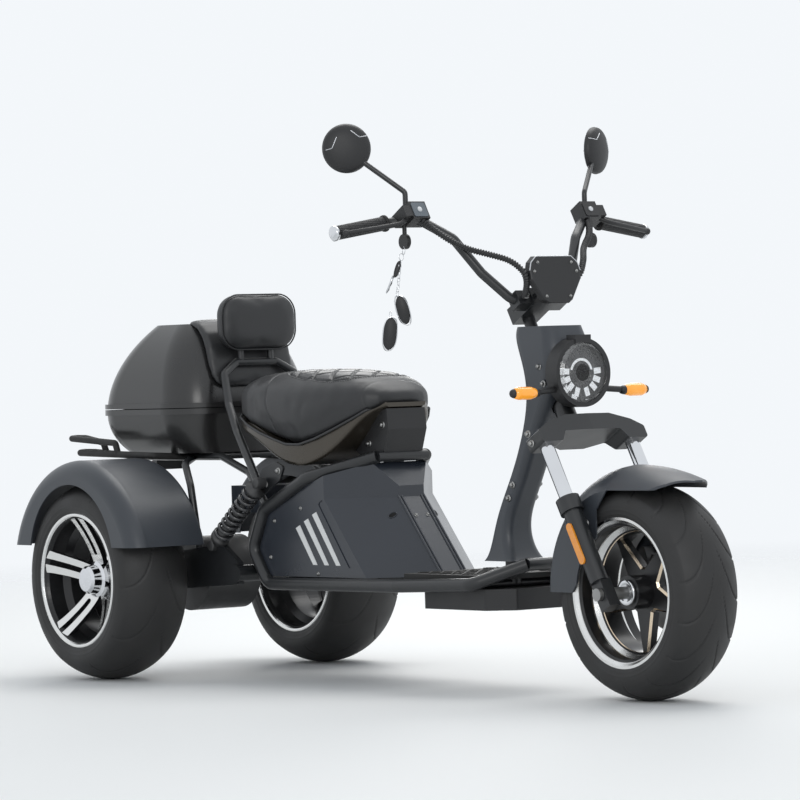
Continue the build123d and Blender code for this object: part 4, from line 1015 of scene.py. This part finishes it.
lock = Vector(from_axle(-490, -268, 1024))
hang = lock + Vector((0, -0.004, -0.020))
wire = [ring_at(hang, 0.0085, 0.0009, (0.3, 1, 0)),
        ring_at(hang + Vector((-0.004, -0.004, -0.014)), 0.0075, 0.0008, (1, 0.2, 0))]
for link in range(9):
    at = hang + Vector((-0.006 - 0.0016 * link, -0.006, -0.026 - 0.0078 * link))
    wire.append(ring_at(at, 0.0046, 0.0008, (1, 0.3, 0) if link % 2 else (0.2, 1, 0), 18, 6))
chain_end = hang + Vector((-0.021, -0.006, -0.096))
wire.append(ring_at(chain_end, 0.0070, 0.0009, (0.3, 1, 0)))
fob_a, fob_b = chain_end + Vector((0.004, 0.006, -0.004)), chain_end + Vector((-0.014, -0.010, -0.052))
wire += [fob(fob_a, 0.066, 0.030, 0.011, 0.4, True), fob(fob_b, 0.074, 0.032, 0.011, -0.2, True)]
wire.append(ring_at(fob_b + Vector((0, 0, 0.006)), 0.0070, 0.0008, (0.3, 1, 0)))
key_top = hang + Vector((-0.008, -0.006, -0.022))
down = Vector((-0.30, -0.32, -1)).normalized()
blade_from = key_top + down * 0.036
flat = Vector((0.6, 0.8, 0))
rim = [blade_from + down * far + flat * wide for far, wide in (
    (0, 0.0035), (0, -0.0035), (0.040, -0.0030), (0.044, 0), (0.036, 0.0034), (0.028, 0.0022), (0.020, 0.0036),
    (0.012, 0.0024))]
wire.append(plate(rim, 0.0018, flat.cross(down)))
keys_metal = add("keys_metal", joined(*wire), chrome)
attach(keys_metal, "fork")
bow = [fob(key_top, 0.040, 0.013, 0.006, -0.9, False), fob(fob_a, 0.066, 0.030, 0.011, 0.4, False),
       fob(fob_b, 0.074, 0.032, 0.011, -0.2, False)]
keys_black = add("keys_fobs", joined(*bow), moulded)
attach(keys_black, "fork")


# Mirrors
# Round black heads, each with a domed back that carries two fine bright chevron lines; the glass sits in a thin rim
# on the rider's side.
dome_radius, dome_from, dome_deep, turned_in = 0.0545, 0.0075, 0.0185, radians(26)
chevrons = [((0.14, 0.72), (0.50, 0.44), (0.86, 0.50)), ((-0.90, -0.06), (-0.66, 0.0), (-0.46, 0.46))]
for side, name in ((-1, "right"), (1, "left")):
    aim = Vector((cos(turned_in), side * sin(turned_in), 0))
    centre = Vector(from_axle(-580, side * 357, 1237))
    dome = [(0.0530, 0.0), (0.0552, 0.0010), (0.0556, 0.0040), (dome_radius, dome_from)]
    dome += [(dome_radius * cos(t), dome_from + dome_deep * sin(t)) for t in (radians(6 * k) for k in range(1, 15))]
    dome += [(0.0010, dome_from + dome_deep)]
    head = add("mirror_shell_" + name, lathe(dome, centre, aim, 72), moulded)
    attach(head, "fork")
    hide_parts("mirror_head_" + name)
    across = Vector((sin(turned_in), -side * cos(turned_in), 0))
    lines = []
    for chevron in chevrons:
        run = []
        for (x0, z0), (x1, z1) in zip(chevron, chevron[1:]):
            for step in range(9):
                px, pz = x0 + (x1 - x0) * step / 8, z0 + (z1 - z0) * step / 8
                rise = dome_from + dome_deep * sqrt(max(0.0, 1 - px**2 - pz**2))
                run.append(centre + across * (dome_radius * px) + Vector((0, 0, dome_radius * pz)) + aim * rise)
        lines.append(run)
    grown("mirror_chevrons_" + name, line_curve("chevron_lines_" + name, lines), round_run, silver_trim, "fork",
          "steel", Radius=0.0011, Step=0.002, Sides=6)


# Turn signals and hub ring
# Each signal is one long amber spindle between small dark ends, with fine ribs inside its lens; a polished ring
# closes the front hub's bearing.
for side, name in ((-1, "right"), (1, "left")):
    at = Vector(from_axle(-215, side * 158, 678))
    spindle = [(0.0075, -0.0350), (0.0105, -0.0300), (0.0128, -0.0220)]
    spindle += [(0.0142 + 0.0003 * (k % 2), -0.0160 + 0.0030 * k) for k in range(12)]
    spindle += [(0.0128, 0.0220), (0.0104, 0.0285)]
    lens = add("signal_lens_" + name, lathe(spindle, at, (0, side, 0), 40), signal)
    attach(lens, "chassis")
    if side < 0:
        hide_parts("turn_signals")
    tip = lathe([(0.0104, 0.0283), (0.0100, 0.0310), (0.0080, 0.0350), (0.0045, 0.0380), (0.0010, 0.0388)], at,
                (0, side, 0), 40)
    root = lathe([(0.0060, -0.0420), (0.0085, -0.0400), (0.0100, -0.0345), (0.0105, -0.0298)], at, (0, side, 0), 40)
    ends = add("signal_ends_" + name, joined(tip, root), moulded)
    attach(ends, "chassis")
seal = lathe([(0.0142, -0.0570), (0.0270, -0.0565), (0.0282, -0.0585), (0.0282, -0.0620), (0.0265, -0.0640),
              (0.0200, -0.0640), (0.0190, -0.0620), (0.0142, -0.0615)], front_hub, (0, 1, 0), 56)
hub_ring = add("hub_ring", seal, chrome)
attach(hub_ring, "front_wheel")


# Rear rims
# A deep black barrel with a narrow bright lip. Five twin-blade spokes leave the hub joined and rise to the lip on
# both sides of an open slot; their faces are machined bright.
def ring(profile, origin, axis, count=96):
    """A closed band turned about an axis from a closed outline of (radius, along) points."""
    verts = lathe(profile, origin, axis, count)[0]
    return facing_out(verts, bands(len(profile), count, closed=True))


spoke_radii = [0.036, 0.046, 0.055, 0.0600, 0.0606, 0.0618, 0.0636, 0.0665]
spoke_radii += [0.0665 + 0.0085 * k for k in range(1, 10)] + [0.1490, 0.1545]
rise = np.interp(spoke_radii, [0.036, 0.046, 0.060, 0.080, 0.100, 0.120, 0.136, 0.149, 0.1545],
                 [0.0270, 0.0285, 0.0330, 0.0415, 0.0520, 0.0640, 0.0750, 0.0850, 0.0900])
half_wide = np.interp(spoke_radii, [0.036, 0.060, 0.100, 0.135, 0.150], [0.0215, 0.0225, 0.0238, 0.0262, 0.0285])
slot_wide = [0.0] * 4 + [0.0030, 0.0047, 0.0060, 0.0066] + [0.0067 + 0.00012 * k for k in range(11)]


def twin_blade(centre, side, turn):
    """One spoke of the rim on that side, turned about the axle."""
    out, over = Vector((side * cos(turn), 0, -sin(turn))), Vector((sin(turn), 0, side * cos(turn)))
    verts, top, low, faces = [], [], [], []
    for r, up, half, slot in zip(spoke_radii, rise, half_wide, slot_wide):
        row = []
        for level in (up, up - 0.013):
            t_values = (-half, -slot, slot, half) if slot else (-half, 0.0, half)
            ids = [len(verts) + k for k in range(len(t_values))]
            verts += [Vector(centre) + out * r + over * t + Vector((0, side * level, 0)) for t in t_values]
            row.append(ids if slot else [ids[0], ids[1], ids[1], ids[2]])
        top.append(row[0])
        low.append(row[1])
    for i in range(len(top) - 1):
        t, u, b, c = top[i], top[i + 1], low[i], low[i + 1]
        for a, z in ((0, 1), (2, 3)):
            faces += [(t[a], t[z], u[z], u[a]), (b[a], c[a], c[z], b[z])]
        for w in [0, 3] + ([1, 2] if slot_wide[i + 1] else []):
            faces.append((t[w], u[w], c[w], b[w]) if w in (0, 2) else (u[w], t[w], b[w], c[w]))
    for a, z in ((0, 1), (2, 3)):
        faces += [(top[0][z], top[0][a], low[0][a], low[0][z]), (top[-1][a], top[-1][z], low[-1][z], low[-1][a])]
    return facing_out(verts, faces)


lip_line = [(0.1650, 0.0930), (0.1520, 0.0870), (0.1520, 0.0420), (0.1380, 0.0280)]
bore_line = [
    (0.1335, 0.0260), (0.1485, 0.0400), (0.1485, 0.0790), (0.1528, 0.0880), (0.1570, 0.0938), (0.1600, 0.0948),
    (0.1635, 0.0944),
]
rim_line = lip_line + [(r, -y) for r, y in lip_line[::-1]] + [(r, -y) for r, y in bore_line[::-1]] + bore_line
for side, name, centre in ((-1, "right", right_hub), (1, "left", left_hub)):
    paint = rim_finish("rear_barrel_" + name, centre, 0.1545, 2.0, 3.0, 0.0, 9.0, (0.74, 0.74, 0.73))
    hub_core = lathe([(0.0300, -0.0600), (0.0460, -0.0590), (0.0460, 0.0210), (0.0300, 0.0220)], centre,
                     (0, side, 0), 64)
    well = add("rear_barrel_" + name, joined(ring(rim_line, centre, (0, side, 0)), hub_core), paint, smooth=False)
    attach(well, "rear_" + name + "_wheel")
    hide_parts("rear_rim_" + name)
    face = rim_finish("rear_spokes_" + name, centre, 9.0, 0.45, 1.1, 0.2, 9.0, (0.74, 0.74, 0.73))
    blades = [twin_blade(centre, side, radians(-17 + 72 * k)) for k in range(5)]
    star = add("rear_spokes_" + name, joined(*blades), face, smooth=False)
    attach(star, "rear_" + name + "_wheel")


# Shock absorbers
# Black hydraulic dampers with bolted eyes, each inside one coil spring that is ground flat at its ends.
damper = [
    (0.009, 0.008), (0.012, 0.010), (0.013, 0.024), (0.0235, 0.028), (0.0240, 0.034), (0.0225, 0.037),
    (0.0140, 0.039), (0.0135, 0.128), (0.0115, 0.132), (0.0065, 0.134), (0.0065, 0.214), (0.0150, 0.217),
    (0.0225, 0.219), (0.0240, 0.223), (0.0230, 0.228), (0.0130, 0.232), (0.0110, 0.242), (0.0080, 0.246),
]
bush = [(0.0060, -0.014), (0.0125, -0.013), (0.0130, -0.011), (0.0130, 0.011), (0.0125, 0.013), (0.0060, 0.014)]
coils, coil_steps, coil_radius = 9, 28, 0.0195
spring_lines, damper_parts = [], []
for side in (-1, 1):
    low_eye, top_eye = Vector(from_axle(-1390, side * 200, 326)), Vector(from_axle(-1192, side * 200, 478))
    way, first, second = square_to(top_eye - low_eye)
    helix = []
    for step in range(coils * coil_steps + 1):
        share = step / (coils * coil_steps)
        along = 0.040 + 0.178 * (share + 0.012 * sin(2 * pi * share))
        t = 2 * pi * coils * share
        helix.append(low_eye + way * along + first * (coil_radius * cos(t)) + second * (coil_radius * sin(t)))
    spring_lines.append(helix)
    damper_parts.append(lathe(damper, low_eye, way, 40))
    damper_parts += [lathe(bush, eye, (0, 1, 0), 32) for eye in (low_eye, top_eye)]
grown("suspension_springs", line_curve("spring_lines", spring_lines), round_run, spring_paint, "chassis", "steel",
      Radius=0.0045, Step=0.0042, Sides=10)
dampers = add("dampers", joined(*damper_parts), cast)
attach(dampers, "chassis")
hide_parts("shock_absorbers")


# Floor mat
# The deck is covered with a moulded rubber mat, its tread made of short raised bars in a herringbone.
def bar_tree():
    """Node tree: a short raised bar at every point, along the point's own direction."""
    tree, given = grower("tread_bars", "Places", "Bars", Bar_Size=(0.024, 0.005, 0.0028))
    block = node(tree, "GeometryNodeMeshCube", Size=given["Bar Size"]).outputs["Mesh"]
    return turned_out(tree, given, set_out(tree, given["Places"], block, "X", facing_way(tree)))


deck_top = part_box("footboard")[1][2]
rows = []
for i in range(12):
    for j in range(-6, 7):
        x, y = -682 + 21 * i, 19 * j
        on_deck = abs(y) < 124 - 0.08 * (x + 424) - 14
        if on_deck and (abs(y) >= 60 or -640 <= x <= -500):
            rows.append((from_axle(x, y, 1000 * deck_top + 0.6), (0.8, 0.6 if (i + j) % 2 else -0.6, 0)))
mat_bars = grown("mat_bars", places("tread_places", rows), bar_tree(), rubber, "chassis", "rubber")
mat_bars.data.polygons.foreach_set("use_smooth", [False] * len(mat_bars.data.polygons))


# Body box trim
# Two oblong vents are let into each slanted front face, and a thin rolled bead runs down its edges.
slope_out = Vector((124, -131, 108.4)).normalized()
slope_up = Vector((-230, 0, 263)).normalized()
for side, name in ((-1, "right"), (1, "left")):
    out = Vector((slope_out.x, -side * slope_out.y, slope_out.z))
    cross = out.cross(slope_up).normalized()
    vents, rims = [], []
    # each vent is a flat near-black disc just proud of the face, painted shade in place of the slot's depth, inside a
    # thin rim
    for at in (from_axle(-938, side * 61, 506), from_axle(-846, side * 63, 399)):
        rim = [Vector(at) + cross * (0.0105 * cos(t)) + slope_up * (0.0062 * sin(t)) - out * 0.0006
               for t in turns(32)]
        vents.append(plate(rim, 0.0011, out))
        rims.append([p + out * 0.0012 for p in rim])
    vent = add("painted_vent_shade_" + name, joined(*vents), vent_painted_shade, smooth=False)
    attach(vent, "chassis")
    grown("vent_rims_" + name, line_curve("vent_rim_lines_" + name, rims, closed=True), round_run, panel_gloss,
          "chassis", "gloss_panel", Radius=0.0011, Step=0.002, Sides=6)
    beads = [[from_axle(-684 - 0.8745 * (z - 246), side * y, z) for z in (262, 340, 420, 500)] for y in (37, 28)]
    grown("panel_beads_" + name, line_curve("bead_lines_" + name, beads), round_run, panel_gloss, "chassis",
          "gloss_panel", Radius=0.0030, Step=0.02, Sides=8)


size = {"cad": [list(corner) for corner in cad_box], "visual": [list(corner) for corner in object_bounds()]}
